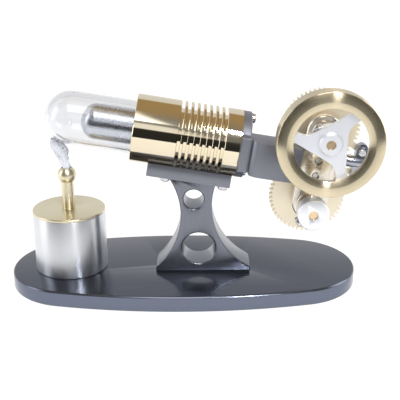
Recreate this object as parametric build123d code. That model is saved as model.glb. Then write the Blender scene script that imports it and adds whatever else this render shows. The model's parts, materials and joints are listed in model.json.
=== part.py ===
"""Desk-top rhombic-drive Stirling engine with a spirit lamp, on an oval base.

Row frame: origin at the centre of the base's underside, +X towards the flywheel,
+Y away from the flywheel's open face, +Z up.  Millimetres and degrees.

Engine frame: origin midway between the two crankshafts.  Local X (u) runs along the
cylinder axis towards the flywheel, local Z (v) runs across it, local Y is the row's Y.
"""
from build123d import *
import math
import os

os.makedirs("parts", exist_ok=True)

# ------------------------------------------------------------------ base and column
BASE_LENGTH = 198.0
BASE_WIDTH = 86.5
BASE_THICKNESS = 9.0
BASE_END_RADIUS = 36.5
BASE_CHAMFER = 0.8

COLUMN_DEPTH = 18.0
COLUMN_WAIST = 17.6          # width at the narrowest place
COLUMN_SIDE_RADIUS = 41.5    # both hollow flanks
COLUMN_WAIST_LEFT_Z = 34.0   # height of the narrowest place above the base, left flank
COLUMN_WAIST_RIGHT_Z = 39.0  # and right flank
COLUMN_FOOT_EDGE = 2.5       # upright edge at each end of the foot
COLUMN_FROM_PAD = 4.5        # waist centre, measured in X from the pad's middle
COLUMN_HOLE_UPPER = (-1.4, 43.3, 5.75)   # X from the waist, height above the base, radius
COLUMN_HOLE_LOWER = (1.2, 13.7, 9.5)
COLUMN_HOLE_CHAMFER = 0.6
COLUMN_EDGE = 0.45           # chamfer of its front and back outlines
COLUMN_FLANK_SPAN = 0.95     # share of the flank radius that the hollow covers
COLUMN_SCREW_OFFSET = 18.0   # each foot screw, in X from the lower hole

# ------------------------------------------------------------------ engine frame
TILT = 9.5                   # slope of the cylinder axis, down towards the flywheel
CRANK_X = 71.9               # midpoint between the crankshafts
CRANK_HEIGHT = 66.4          # and its height above the base

# ------------------------------------------------------------------ gears and shafts
GEAR_MODULE = 0.8
GEAR_TEETH = 50
GEAR_THICKNESS = 3.5
GEAR_BACK = -9.3             # Y of the gears' rear faces
TOOTH_THINNING = 0.07        # taken off each tooth at the pitch circle, for backlash
PRESSURE_ANGLE = 20.0
SHAFT_RADIUS = 2.5
RUNNING = 0.05               # radial clearance of everything that turns or slides
SNUG = 0.02                  # radial clearance of pressed and screwed pieces
TAPPED = 0.05                # radial clearance around a screw's thread

# ------------------------------------------------------------------ linkage
CRANK_RADIUS = 5.0
CRANK_ANGLE = -45.0          # rest direction of the upper crank pin, from u towards v
POWER_ROD = 21.0             # between bearing centres
DISPLACER_LINK = 25.8
PIVOT_OFFSET = 6.2           # yoke pivots, each side of the cylinder axis
YOKE_THICKNESS = 5.0
YOKE_END_RADIUS = 3.2
YOKE_REACH = 11.0            # cylinder axis to the yoke's rounded end
YOKE_BOSS_RADIUS = 3.5
ROD_THICKNESS = 2.5
BIG_END_RADIUS = 4.0
SMALL_END_RADIUS = 3.0
ROD_WIDTH = 3.6
PIN_RADIUS = 1.5
PIN_SHOULDER_RADIUS = 2.5
PIVOT_PIN_RADIUS = 1.25
SIDE_GAP = 0.3               # between neighbouring layers of the linkage

# ------------------------------------------------------------------ cylinder and glass
CYLINDER_RADIUS = 18.85
CYLINDER_LENGTH = 58.4
CYLINDER_FRONT_PLAIN = 24.4  # smooth length before the fins
FLANGE_FRONT = -41.5         # u of the joint between the cylinder and its flange
FIN_COUNT = 7
FIN_THICKNESS = 1.75
FIN_GAP = 1.65
FIN_ROOT_RADIUS = 14.6
FIN_CHAMFER = 0.35
GLASS_RADIUS = 14.8
GLASS_WALL = 1.9
GLASS_EXPOSED = 49.1         # glass in front of the cylinder, to its tip
GLASS_SEAT = 15.0            # glass inside the cylinder
SEAL_WIDTH = 2.0
SEAL_DEPTH = 1.5
SEAL_INSET = 1.2
SHOULDER_SEAL = 0.6

# ------------------------------------------------------------------ pistons
DISPLACER_LENGTH = 59.0
DISPLACER_GAP = 3.0          # between the displacer and the bore
DISPLACER_NOSE = 8.2
DISPLACER_WALL = 0.6
DISPLACER_REACH = 97.2       # yoke pivots back to the displacer's rear face
DISPLACER_ROD_RADIUS = 1.5
PISTON_LENGTH = 12.0
PISTON_REACH = 33.7          # yoke pivots back to the piston's rear face
PISTON_TUBE_RADIUS = 3.2
TUBE_WALL = 1.2

# ------------------------------------------------------------------ flange, arm and bearing plate
FLANGE_RADIUS = 18.5
FLANGE_THICKNESS = 5.0
FLANGE_HOLE_RADIUS = 6.0
FLANGE_SCREW_CIRCLE = 15.3
LUG_REACH = 22.0             # flange's square lug, in front of the axis
ARM_HALF_HEIGHT = 9.6
ARM_THICKNESS = 13.8
ARM_GEAR_GAP = 0.3
ARM_SHOULDER = 5.8           # rounding of the arm's front beside the flange
ARM_GROOVE_WIDTH = 0.9       # groove between the lug and the arm
ARM_GROOVE_DEPTH = 1.6
ARM_ROOT_EXTRA = 3.9         # the arm is this much thicker beside the flange
ARM_ROOT_GEAR_GAP = 2.2      # and keeps this far from the gears' rims
PLATE_HALF_WIDTH = 9.3
PLATE_THICKNESS = 5.0
PLATE_SUNK = 2.1             # plate's face behind the arm's front
PLATE_BEVEL = 0.6
BEARING_RING_RADIUS = 7.0
BEARING_RING_HEIGHT = 2.0
BUSH_RADIUS = 4.5
BUSH_FLANGE_RADIUS = 5.6
BUSH_FLANGE_THICKNESS = 1.0
PLATE_SCREW_OFFSET = 4.2
PLATE_SCREW_HEAD = 1.5
PLATE_SCREW_RECESS = 2.05    # radius of the counterbore around each head
PLATE_SCREW_SEAT = 1.9       # and its depth

# ------------------------------------------------------------------ pad under the cylinder
PAD_HALF_WIDTH = 13.0
PAD_UNDER = 3.65             # metal left below the cylinder
PAD_GRIP = 3.65              # how far the cylinder sinks into the cradle
PAD_SCREW_FROM_FINS = 3.5
PAD_FRONT_OVERHANG = 10.4
PAD_REAR_OVERHANG = 3.75
PAD_SCREW_Y = 9.75
PAD_CORNER = 0.9

# ------------------------------------------------------------------ flywheel and collar
RIM_RADIUS = 27.35
RIM_OPENING_RADIUS = 19.4
RIM_FRONT = -49.25           # Y of the rim's foremost edge
RIM_WIDTH = 10.4
RIM_EDGE = 0.55              # chamfer of its outer edges
RIM_DISH_DEPTH = 2.1
RIM_DISH_RADIUS = 24.2       # deepest ring of the dished face
RIM_STEP_RADIUS = 22.0       # where the inner slope changes
RIM_STEP_DEPTH = 1.35
RIM_LIP = 0.25               # how far the opening's edge lies behind the outer edge
SPIDER_RECESS = 3.4          # spider face behind the opening's edge
SPIDER_THICKNESS = 3.0
SPIDER_SEAT_RADIUS = 21.5
SPIDER_RING_RADIUS = 20.0
SPIDER_WEB_RADIUS = 8.5
SPIDER_ARM_ANGLE = 42.0      # from the straight flank's foot to the radial flank
SPIDER_TURN = -1.2           # rest direction of the first straight flank's foot
SPIDER_FILLET = 8.0
SPIDER_RIM_FILLET = 1.8
HUB_FRONT_RADIUS = 6.15
HUB_FRONT_PROUD = 2.3
HUB_FRONT_CHAMFER = 1.0
HUB_REAR_RADIUS = 7.9
HUB_REAR_LENGTH = 8.4
SHAFT_SUNK = 1.0             # shaft end below the face of the hub
COLLAR_RADIUS = 8.27
COLLAR_FRONT = -43.2
COLLAR_LENGTH = 8.6
SET_SCREW_ANGLE = 132.0      # rest direction in the flywheel hub
COLLAR_SCREW_ANGLE = 214.0   # rest direction in the collar
SPACER_RADIUS = 3.7

# ------------------------------------------------------------------ screws
M2_HEAD, M2_HEAD_HEIGHT, M2_THREAD = 2.0, 1.2, 1.0
M3_HEAD, M3_HEAD_HEIGHT, M3_THREAD = 2.8, 2.2, 1.5
M4_HEAD, M4_HEAD_HEIGHT, M4_THREAD = 3.5, 4.0, 2.0
HEAD_PLAY = 0.3

# ------------------------------------------------------------------ spirit lamp
LAMP_FROM_GLASS_TIP = 9.9    # lamp axis, in X from the tip of the glass
LAMP_RADIUS = 20.6
LAMP_HEIGHT = 34.3
LAMP_WALL = 1.3
LAMP_FLOOR = 1.6
LID_THICKNESS = 1.4
LID_SPIGOT = 3.0
WICK_TUBE_RADIUS = 3.5
WICK_TUBE_BORE = 2.4
WICK_TUBE_BELOW = 5.0
WICK_BALL_RADIUS = 5.2
WICK_BALL_HEIGHT = 19.9      # ball centre above the lid
WICK_MOUTH_RADIUS = 3.1
WICK_TAIL = 26.0             # wick hanging inside the reservoir, below the lid
WICK_GLASS_GAP = 0.8
WICK_LEAN = 3.6
WICK_RISE = 17.0             # tuft above the ball's mouth

# ------------------------------------------------------------------ worked-out positions
CRANK_Z = BASE_THICKNESS + CRANK_HEIGHT
PITCH_RADIUS = GEAR_MODULE * GEAR_TEETH / 2
ENGINE = Location((CRANK_X, 0, CRANK_Z), (0, TILT, 0))
UPPER = 1
LOWER = -1

GEAR_FRONT = GEAR_BACK - GEAR_THICKNESS
ARM_BACK = GEAR_FRONT - ARM_GEAR_GAP
ARM_FRONT = ARM_BACK - ARM_THICKNESS
PLATE_FRONT = ARM_FRONT + PLATE_SUNK
PLATE_BACK = PLATE_FRONT + PLATE_THICKNESS
RING_FRONT = PLATE_FRONT - BEARING_RING_HEIGHT
BUSH_FRONT = RING_FRONT - BUSH_FLANGE_THICKNESS / 2
BUSH_BACK = ARM_BACK - SIDE_GAP
RIM_BACK = RIM_FRONT + RIM_WIDTH
OPENING_EDGE = RIM_FRONT + RIM_LIP
SPIDER_FRONT = OPENING_EDGE + SPIDER_RECESS
SPIDER_BACK = SPIDER_FRONT + SPIDER_THICKNESS
HUB_FRONT = SPIDER_FRONT - HUB_FRONT_PROUD
HUB_BACK = SPIDER_BACK + HUB_REAR_LENGTH
COLLAR_BACK = COLLAR_FRONT + COLLAR_LENGTH

CYLINDER_FRONT = FLANGE_FRONT - CYLINDER_LENGTH
FIN_START = CYLINDER_FRONT + CYLINDER_FRONT_PLAIN
FIN_PITCH = FIN_THICKNESS + FIN_GAP
FIN_END = FIN_START + FIN_COUNT * FIN_PITCH + FIN_GAP
FLANGE_BACK = FLANGE_FRONT + FLANGE_THICKNESS
GLASS_TIP = CYLINDER_FRONT - GLASS_EXPOSED
GLASS_END = CYLINDER_FRONT + GLASS_SEAT
BORE_RADIUS = GLASS_RADIUS - GLASS_WALL

YOKE_FRONT = -YOKE_THICKNESS / 2
YOKE_BACK = YOKE_THICKNESS / 2
DISPLACER_LAYER = YOKE_BACK + SIDE_GAP
POWER_LAYER = DISPLACER_LAYER + ROD_THICKNESS + SIDE_GAP
PIN_END = POWER_LAYER + ROD_THICKNESS + SIDE_GAP

PIN_U = CRANK_RADIUS * math.cos(math.radians(CRANK_ANGLE))
PIN_V = PITCH_RADIUS + CRANK_RADIUS * math.sin(math.radians(CRANK_ANGLE))
PIN_ABOVE_PIVOT = PIN_V - PIVOT_OFFSET
POWER_U = PIN_U - math.sqrt(POWER_ROD ** 2 - PIN_ABOVE_PIVOT ** 2)
DISPLACER_U = PIN_U + math.sqrt(DISPLACER_LINK ** 2 - PIN_ABOVE_PIVOT ** 2)
PISTON_BACK = POWER_U - PISTON_REACH
PISTON_FRONT = PISTON_BACK - PISTON_LENGTH
DISPLACER_BACK = DISPLACER_U - DISPLACER_REACH
DISPLACER_FRONT = DISPLACER_BACK - DISPLACER_LENGTH
DISPLACER_RADIUS = BORE_RADIUS - DISPLACER_GAP

PAD_TOP = PAD_GRIP - CYLINDER_RADIUS
PAD_BOTTOM = -CYLINDER_RADIUS - PAD_UNDER
PAD_SCREWS_U = (FIN_START - PAD_SCREW_FROM_FINS, FIN_END + PAD_SCREW_FROM_FINS)
PAD_FRONT = PAD_SCREWS_U[0] - PAD_FRONT_OVERHANG
PAD_BACK = PAD_SCREWS_U[1] + PAD_REAR_OVERHANG


def row_point(u, y, v):
    """Row-frame coordinates of a point given in the engine frame."""
    slope = math.radians(TILT)
    return (CRANK_X + u * math.cos(slope) + v * math.sin(slope), y,
            CRANK_Z - u * math.sin(slope) + v * math.cos(slope))


COLUMN_X = row_point((PAD_FRONT + PAD_BACK) / 2, 0, PAD_BOTTOM)[0] + COLUMN_FROM_PAD
GLASS_CENTRE = row_point(GLASS_TIP + GLASS_RADIUS, 0, 0)
LAMP_X = row_point(GLASS_TIP, 0, 0)[0] + LAMP_FROM_GLASS_TIP
LID_TOP = BASE_THICKNESS + LAMP_HEIGHT + LID_THICKNESS


# ------------------------------------------------------------------ shape helpers
def block(x, y, z):
    """Box between two limits along each axis."""
    size = [limit[1] - limit[0] for limit in (x, y, z)]
    middle = [(limit[0] + limit[1]) / 2 for limit in (x, y, z)]
    return Pos(*middle) * Box(*size)


def disc(radius, y0, y1, u=0.0, v=0.0):
    """Cylinder whose axis runs along Y."""
    return Pos(u, (y0 + y1) / 2, v) * Rot(90, 0, 0) * Cylinder(radius, y1 - y0)


def bar(radius, u0, u1, y=0.0, v=0.0):
    """Cylinder whose axis runs along the engine axis."""
    return Pos((u0 + u1) / 2, y, v) * Rot(0, 90, 0) * Cylinder(radius, u1 - u0)


def post(radius, z0, z1, x=0.0, y=0.0):
    """Upright cylinder."""
    return Pos(x, y, (z0 + z1) / 2) * Cylinder(radius, z1 - z0)


def rim_edges(shape, radius):
    """Circular edges of one radius."""
    return shape.edges().filter_by(GeomType.CIRCLE).filter_by(
        lambda edge: abs(edge.radius - radius) < 1e-4)


def along(origin, direction):
    """Location whose Z axis points along a direction."""
    return Plane(origin, z_dir=direction).location


def pan_screw(head, height, thread, length):
    """Pan-head screw on Z: the head stands on z = 0 and the thread hangs below."""
    shape = Pos(0, 0, height / 2) * Cylinder(head, height)
    shape = fillet(shape.edges().group_by(Axis.Z)[-1], height * 0.4)
    slot = Box(head * 1.3, head * 0.28, height) + Box(head * 0.28, head * 1.3, height)
    shape -= Pos(0, 0, height * 1.1) * slot
    return shape + Pos(0, 0, -length / 2) * Cylinder(thread, length)


def socket_screw(head, height, thread, length):
    """Cap screw with a hexagon socket, seated like the pan-head screw."""
    shape = Pos(0, 0, height / 2) * Cylinder(head, height)
    shape = chamfer(shape.edges().group_by(Axis.Z)[-1], height * 0.1)
    shape -= Pos(0, 0, height) * extrude(RegularPolygon(head * 0.5, 6), -height * 0.5)
    return shape + Pos(0, 0, -length / 2) * Cylinder(thread, length)


def flat_screw(head, thread, length):
    """Countersunk screw: its flat top lies at z = 0."""
    cone_height = head - thread
    shape = Pos(0, 0, -cone_height / 2) * Cone(thread, head, cone_height)
    shape -= Pos(0, 0, 0) * extrude(RegularPolygon(head * 0.45, 6), -cone_height * 0.6)
    return shape + Pos(0, 0, -(cone_height + length) / 2) * Cylinder(thread, length - cone_height)


def group(pieces):
    """Several separate solids kept in one node."""
    return Compound(children=list(pieces))


# ------------------------------------------------------------------ base and column
def column_screw_places():
    """Foot screws, one each side of the column's lower hole."""
    middle = COLUMN_X + COLUMN_HOLE_LOWER[0]
    return [middle - COLUMN_SCREW_OFFSET, middle + COLUMN_SCREW_OFFSET]


def base_plate():
    """Oval plate drawn with four tangent arcs."""
    half_length, half_width, end = BASE_LENGTH / 2, BASE_WIDTH / 2, BASE_END_RADIUS
    end_x = half_length - end
    side = (half_length ** 2 - 2 * half_length * end + half_width ** 2) / (2 * (half_width - end))
    side_y = half_width - side
    reach = math.hypot(end_x, side_y)
    join_x = end_x + end * end_x / reach
    join_y = -end * side_y / reach
    outline = [
        ThreePointArc((-join_x, join_y), (0, half_width), (join_x, join_y)),
        ThreePointArc((join_x, join_y), (half_length, 0), (join_x, -join_y)),
        ThreePointArc((join_x, -join_y), (0, -half_width), (-join_x, -join_y)),
        ThreePointArc((-join_x, -join_y), (-half_length, 0), (-join_x, join_y)),
    ]
    plate = extrude(make_face(outline), BASE_THICKNESS)
    plate = chamfer(plate.edges().group_by(Axis.Z)[-1], BASE_CHAMFER)
    plate = chamfer(plate.edges().group_by(Axis.Z)[0], BASE_CHAMFER / 2)
    for x in column_screw_places():
        plate -= post(M4_THREAD + TAPPED * 2, -1, BASE_THICKNESS + 1, x)
        plate -= post(M4_HEAD + HEAD_PLAY, -1, M4_HEAD_HEIGHT + HEAD_PLAY, x)
    return plate


def flank_x(z, side):
    """X of a column flank at a height above the base; side is -1 left, +1 right."""
    waist_z = COLUMN_WAIST_LEFT_Z if side < 0 else COLUMN_WAIST_RIGHT_Z
    bulge = COLUMN_SIDE_RADIUS - math.sqrt(COLUMN_SIDE_RADIUS ** 2 - (z - waist_z) ** 2)
    return COLUMN_X + side * (COLUMN_WAIST / 2 + bulge)


def column():
    """Upright with hollow flanks and two round windows, cut off under the sloping pad."""
    top = CRANK_HEIGHT
    left_end = min(top, COLUMN_WAIST_LEFT_Z + COLUMN_FLANK_SPAN * COLUMN_SIDE_RADIUS)
    right_end = min(top, COLUMN_WAIST_RIGHT_Z + COLUMN_FLANK_SPAN * COLUMN_SIDE_RADIUS)
    left_foot = (flank_x(COLUMN_FOOT_EDGE, -1), COLUMN_FOOT_EDGE)
    right_foot = (flank_x(COLUMN_FOOT_EDGE, 1), COLUMN_FOOT_EDGE)
    left_top = (flank_x(left_end, -1), left_end)
    right_top = (flank_x(right_end, 1), right_end)
    waist_left = (COLUMN_X - COLUMN_WAIST / 2, COLUMN_WAIST_LEFT_Z)
    waist_right = (COLUMN_X + COLUMN_WAIST / 2, COLUMN_WAIST_RIGHT_Z)
    outline = [
        Line((left_foot[0], 0), left_foot),
        ThreePointArc(left_foot, waist_left, left_top),
        ThreePointArc(right_top, waist_right, right_foot),
        Line(right_foot, (right_foot[0], 0)),
        Line((right_foot[0], 0), (left_foot[0], 0)),
        Line((left_top[0], top), (right_top[0], top)),
    ]
    if left_end < top:
        outline.append(Line(left_top, (left_top[0], top)))
    if right_end < top:
        outline.append(Line(right_top, (right_top[0], top)))
    upright = Rot(90, 0, 0) * extrude(make_face(outline), COLUMN_DEPTH / 2, both=True)
    flanks = [edge for edge in upright.edges().group_by(Axis.Y)[0] + upright.edges().group_by(Axis.Y)[-1]
              if 0.01 < edge.center().Z < top - 0.01]
    upright = chamfer(flanks, COLUMN_EDGE)
    for x, z, radius in (COLUMN_HOLE_UPPER, COLUMN_HOLE_LOWER):
        upright -= disc(radius, -COLUMN_DEPTH, COLUMN_DEPTH, COLUMN_X + x, z)
        upright = chamfer(rim_edges(upright, radius), COLUMN_HOLE_CHAMFER)
    upright = Pos(0, 0, BASE_THICKNESS) * upright
    above = block((PAD_FRONT * 2, 0), (-COLUMN_DEPTH, COLUMN_DEPTH),
                  (PAD_BOTTOM, PAD_BOTTOM + 4 * CYLINDER_RADIUS))
    upright -= ENGINE * above
    for x in column_screw_places():
        upright -= post(M4_THREAD + TAPPED, BASE_THICKNESS - 1,
                        BASE_THICKNESS + column_screw_depth(x) + HEAD_PLAY, x)
    for u in top_screw_places():
        upright -= ENGINE * post(M3_THREAD + TAPPED, PAD_BOTTOM - top_screw_depth() - HEAD_PLAY,
                                 PAD_BOTTOM + 1, u)
    relief = M3_HEAD + HEAD_PLAY
    for u in PAD_SCREWS_U:
        for y in (-PAD_SCREW_Y, PAD_SCREW_Y):
            upright -= ENGINE * post(relief, PAD_BOTTOM - M3_HEAD_HEIGHT - HEAD_PLAY,
                                     PAD_BOTTOM + 1, u, y)
    return upright


def column_screw_depth(x):
    """Thread inside the foot, 2 mm short of the hollow flank and at most 7 mm."""
    edges = [x - M4_THREAD - TAPPED, x + M4_THREAD + TAPPED]
    heights = []
    for edge in edges:
        side = -1 if edge < COLUMN_X else 1
        waist_z = COLUMN_WAIST_LEFT_Z if side < 0 else COLUMN_WAIST_RIGHT_Z
        across = COLUMN_WAIST / 2 + COLUMN_SIDE_RADIUS - abs(edge - COLUMN_X)
        across = min(max(across, 0), COLUMN_SIDE_RADIUS)
        heights.append(waist_z - math.sqrt(COLUMN_SIDE_RADIUS ** 2 - across ** 2))
    return max(2.5, min(7.0, min(heights) - 2.0))


def column_screws():
    """Two cap screws, up through the base into the column's foot."""
    screws = []
    for x in column_screw_places():
        length = BASE_THICKNESS - M4_HEAD_HEIGHT - HEAD_PLAY + column_screw_depth(x)
        screw = socket_screw(M4_HEAD, M4_HEAD_HEIGHT, M4_THREAD, length)
        screws.append(along((x, 0, M4_HEAD_HEIGHT + HEAD_PLAY), (0, 0, -1)) * screw)
    return group(screws)


# ------------------------------------------------------------------ pad
def top_screw_places():
    """Two screws from the cradle into the column, either side of the waist's middle."""
    middle = (PAD_SCREWS_U[0] + PAD_SCREWS_U[1]) / 2
    return [middle - COLUMN_WAIST * 0.43, middle + COLUMN_WAIST * 0.43]


def top_screw_depth():
    """Thread inside the column's top, above its upper hole."""
    return 5.5


def cradle_pad():
    """Sloping block, hollowed to the cylinder's radius."""
    pad = block((PAD_FRONT, PAD_BACK), (-PAD_HALF_WIDTH, PAD_HALF_WIDTH), (PAD_BOTTOM, PAD_TOP))
    pad = fillet(pad.edges().filter_by(Axis.Z), PAD_CORNER)
    pad -= bar(CYLINDER_RADIUS + SNUG, PAD_FRONT - 1, PAD_BACK + 1)
    for u in PAD_SCREWS_U:
        for y in (-PAD_SCREW_Y, PAD_SCREW_Y):
            pad -= post(M3_THREAD + 2 * TAPPED, PAD_BOTTOM - 1, PAD_TOP + 1, u, y)
    sink = M3_HEAD - M3_THREAD
    for u in top_screw_places():
        head_top = HEAD_PLAY - CYLINDER_RADIUS - 2 * HEAD_PLAY
        pad -= post(M3_THREAD + 2 * TAPPED, PAD_BOTTOM - 1, PAD_TOP, u)
        pad -= Pos(u, 0, head_top - sink / 2) * Cone(M3_THREAD + 2 * TAPPED, M3_HEAD + 2 * TAPPED, sink)
        pad -= post(M3_HEAD + 2 * TAPPED, head_top, PAD_TOP, u)
    return ENGINE * pad


def pad_screws():
    """Four pan-head screws, up through the pad into the cylinder's wall."""
    length = PAD_UNDER + CYLINDER_RADIUS - thread_top()
    screws = []
    for u in PAD_SCREWS_U:
        for y in (-PAD_SCREW_Y, PAD_SCREW_Y):
            screw = pan_screw(M3_HEAD, M3_HEAD_HEIGHT, M3_THREAD, length)
            screws.append(ENGINE * along((u, y, PAD_BOTTOM), (0, 0, -1)) * screw)
    return group(screws)


def thread_top():
    """Depth of the pad screws' ends below the axis, inside the cylinder's wall."""
    clear_radius = BORE_RADIUS + M3_THREAD + 1.0
    return math.sqrt(max(clear_radius ** 2 - PAD_SCREW_Y ** 2, 1.0)) + 0.8


def column_top_screws():
    """Two countersunk screws, from the cradle down into the column."""
    head_top = -CYLINDER_RADIUS - HEAD_PLAY
    length = PAD_UNDER - HEAD_PLAY + top_screw_depth()
    screws = []
    for u in top_screw_places():
        screw = flat_screw(M3_HEAD, M3_THREAD, length)
        screws.append(ENGINE * Pos(u, 0, head_top) * screw)
    return group(screws)


# ------------------------------------------------------------------ cylinder and glass
def flange_screw_places():
    """Flange screws as (y, v): top, bottom and back."""
    ring = FLANGE_SCREW_CIRCLE
    return [(0, ring), (0, -ring), (ring, 0)]


def cylinder_body():
    """Finned brass cylinder, bored through, with a seat for the glass in its front."""
    body = bar(CYLINDER_RADIUS, CYLINDER_FRONT, FIN_START)
    body = chamfer(rim_edges(body, CYLINDER_RADIUS), FIN_CHAMFER)
    for index in range(FIN_COUNT):
        start = FIN_START + FIN_GAP + index * FIN_PITCH
        fin = bar(CYLINDER_RADIUS, start, start + FIN_THICKNESS)
        body += chamfer(rim_edges(fin, CYLINDER_RADIUS), FIN_CHAMFER)
    rear = bar(CYLINDER_RADIUS, FIN_END, FLANGE_FRONT)
    body += chamfer(rim_edges(rear, CYLINDER_RADIUS).group_by(Axis.X)[0], FIN_CHAMFER)
    body += bar(FIN_ROOT_RADIUS, FIN_START - 1, FIN_END + 1)
    body -= bar(BORE_RADIUS, CYLINDER_FRONT - 1, FLANGE_FRONT + 1)
    body -= bar(GLASS_RADIUS + SNUG, CYLINDER_FRONT - 1, GLASS_END + SHOULDER_SEAL)
    body -= bar(GLASS_RADIUS + SEAL_DEPTH + SNUG, CYLINDER_FRONT + SEAL_INSET,
                CYLINDER_FRONT + SEAL_INSET + SEAL_WIDTH)
    top = thread_top() - 0.3
    for u in PAD_SCREWS_U:
        for y in (-PAD_SCREW_Y, PAD_SCREW_Y):
            body -= post(M3_THREAD + TAPPED, -CYLINDER_RADIUS - 1, -top, u, y)
    for y, v in flange_screw_places():
        body -= bar(M3_THREAD + TAPPED, FLANGE_FRONT - flange_thread() - 0.3, FLANGE_FRONT + 1, y, v)
    return ENGINE * body


def flange_thread():
    """Thread of a flange screw inside the cylinder's plain rear part."""
    return min(7.0, FLANGE_FRONT - FIN_END - 1.0)


def glass_tube():
    """Test-tube shaped hot end."""
    centre = GLASS_TIP + GLASS_RADIUS
    outside = bar(GLASS_RADIUS, centre, GLASS_END) + Pos(centre, 0, 0) * Sphere(GLASS_RADIUS)
    inside = bar(BORE_RADIUS, centre, GLASS_END + 1) + Pos(centre, 0, 0) * Sphere(BORE_RADIUS)
    return ENGINE * (outside - inside)


def glass_seals():
    """Seal ring around the glass, and a soft washer at its inner end."""
    start = CYLINDER_FRONT + SEAL_INSET
    ring = bar(GLASS_RADIUS + SEAL_DEPTH, start, start + SEAL_WIDTH)
    ring -= bar(GLASS_RADIUS + SNUG, start - 1, start + SEAL_WIDTH + 1)
    washer = bar(GLASS_RADIUS, GLASS_END, GLASS_END + SHOULDER_SEAL)
    washer -= bar(BORE_RADIUS, GLASS_END - 1, GLASS_END + 2)
    return group([ENGINE * ring, ENGINE * washer])


# ------------------------------------------------------------------ flange, arm and bearing plate
def frame_bracket():
    """Flange behind the cylinder and the arm that carries the bearing plate."""
    flange = bar(FLANGE_RADIUS, FLANGE_FRONT, FLANGE_BACK)
    flange = chamfer(rim_edges(flange, FLANGE_RADIUS).group_by(Axis.X)[-1], 0.5)
    half = ARM_HALF_HEIGHT
    lug = block((FLANGE_FRONT, FLANGE_BACK), (-LUG_REACH, 0), (-half, half))
    flange += chamfer(lug.edges().filter_by(Axis.X).group_by(Axis.Y)[0], 0.4)
    arm = block((FLANGE_BACK, PLATE_HALF_WIDTH), (ARM_FRONT, ARM_BACK), (-half, half))
    root_end = -PITCH_RADIUS - GEAR_MODULE - ARM_ROOT_GEAR_GAP
    arm += block((FLANGE_BACK, root_end), (ARM_FRONT, ARM_BACK + ARM_ROOT_EXTRA), (-half, half))
    arm = fillet(arm.edges().filter_by(Axis.Z).sort_by_distance((FLANGE_BACK, ARM_FRONT, 0))[0],
                 ARM_SHOULDER)
    arm -= block((FLANGE_BACK - 1, FLANGE_BACK + ARM_GROOVE_WIDTH),
                 (-2 * LUG_REACH, ARM_GROOVE_DEPTH - LUG_REACH), (-2 * half, 2 * half))
    arm -= block((-PLATE_HALF_WIDTH, PLATE_HALF_WIDTH + 1), (ARM_FRONT - 1, PLATE_BACK),
                 (-2 * half, 2 * half))
    bracket = flange + arm
    bracket -= bar(FLANGE_HOLE_RADIUS, FLANGE_FRONT - 1, FLANGE_BACK + 1)
    for y, v in flange_screw_places():
        bracket -= bar(M3_THREAD + 2 * TAPPED, FLANGE_FRONT - 1, FLANGE_BACK + 1, y, v)
    for v in (-PLATE_SCREW_OFFSET, PLATE_SCREW_OFFSET):
        bracket -= disc(M2_THREAD + TAPPED, PLATE_BACK - 1, ARM_BACK - 1.2, 0, v)
    for side in (UPPER, LOWER):
        bracket -= disc(BUSH_RADIUS + 2 * RUNNING, PLATE_BACK - 1, ARM_BACK + 1, 0, side * PITCH_RADIUS)
    return ENGINE * bracket


def flange_screws():
    """Pan-head screws through the flange into the cylinder."""
    length = FLANGE_THICKNESS + flange_thread()
    screws = []
    for y, v in flange_screw_places():
        screw = pan_screw(M3_HEAD, M3_HEAD_HEIGHT, M3_THREAD, length)
        screws.append(ENGINE * along((FLANGE_BACK, y, v), (1, 0, 0)) * screw)
    return group(screws)


def bearing_plate():
    """Round-ended bright plate with a raised ring at each bearing."""
    half = PLATE_HALF_WIDTH
    plate = block((-half, half), (PLATE_FRONT, PLATE_BACK), (-PITCH_RADIUS, PITCH_RADIUS))
    for side in (UPPER, LOWER):
        plate += disc(half, PLATE_FRONT, PLATE_BACK, 0, side * PITCH_RADIUS)
    plate = chamfer(plate.edges().group_by(Axis.Y)[0], PLATE_BEVEL)
    for side in (UPPER, LOWER):
        ring = disc(BEARING_RING_RADIUS, RING_FRONT, PLATE_BACK, 0, side * PITCH_RADIUS)
        plate += chamfer(ring.edges().group_by(Axis.Y)[0], PLATE_BEVEL / 2)
        plate -= disc(BUSH_RADIUS + SNUG, RING_FRONT - 1, PLATE_BACK + 1, 0, side * PITCH_RADIUS)
        plate -= disc(BUSH_FLANGE_RADIUS + SNUG, RING_FRONT - 1, BUSH_FRONT + BUSH_FLANGE_THICKNESS,
                      0, side * PITCH_RADIUS)
    for v in (-PLATE_SCREW_OFFSET, PLATE_SCREW_OFFSET):
        plate -= disc(M2_THREAD + 2 * TAPPED, PLATE_FRONT - 1, PLATE_BACK + 1, 0, v)
        plate -= disc(PLATE_SCREW_RECESS, PLATE_FRONT - 1, PLATE_FRONT + PLATE_SCREW_SEAT, 0, v)
    return ENGINE * plate


def plate_screws():
    """Two sunk pan-head screws, from the plate into the arm."""
    seat = PLATE_FRONT + PLATE_SCREW_SEAT
    length = ARM_BACK - 1.5 - seat
    screws = []
    for v in (-PLATE_SCREW_OFFSET, PLATE_SCREW_OFFSET):
        screw = pan_screw(PLATE_SCREW_HEAD, M2_HEAD_HEIGHT, M2_THREAD, length)
        screws.append(ENGINE * along((0, seat, v), (0, -1, 0)) * screw)
    return group(screws)


def bearing_bush(side):
    """Flanged bush for one shaft."""
    v = side * PITCH_RADIUS
    bush = disc(BUSH_RADIUS, BUSH_FRONT, BUSH_BACK, 0, v)
    bush += disc(BUSH_FLANGE_RADIUS, BUSH_FRONT, BUSH_FRONT + BUSH_FLANGE_THICKNESS, 0, v)
    bush -= disc(SHAFT_RADIUS + RUNNING, BUSH_FRONT - 1, BUSH_BACK + 1, 0, v)
    return ENGINE * bush


# ------------------------------------------------------------------ gears, shafts and crank pins
def involute(angle):
    """Involute function of an angle in radians."""
    return math.tan(angle) - angle


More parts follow.
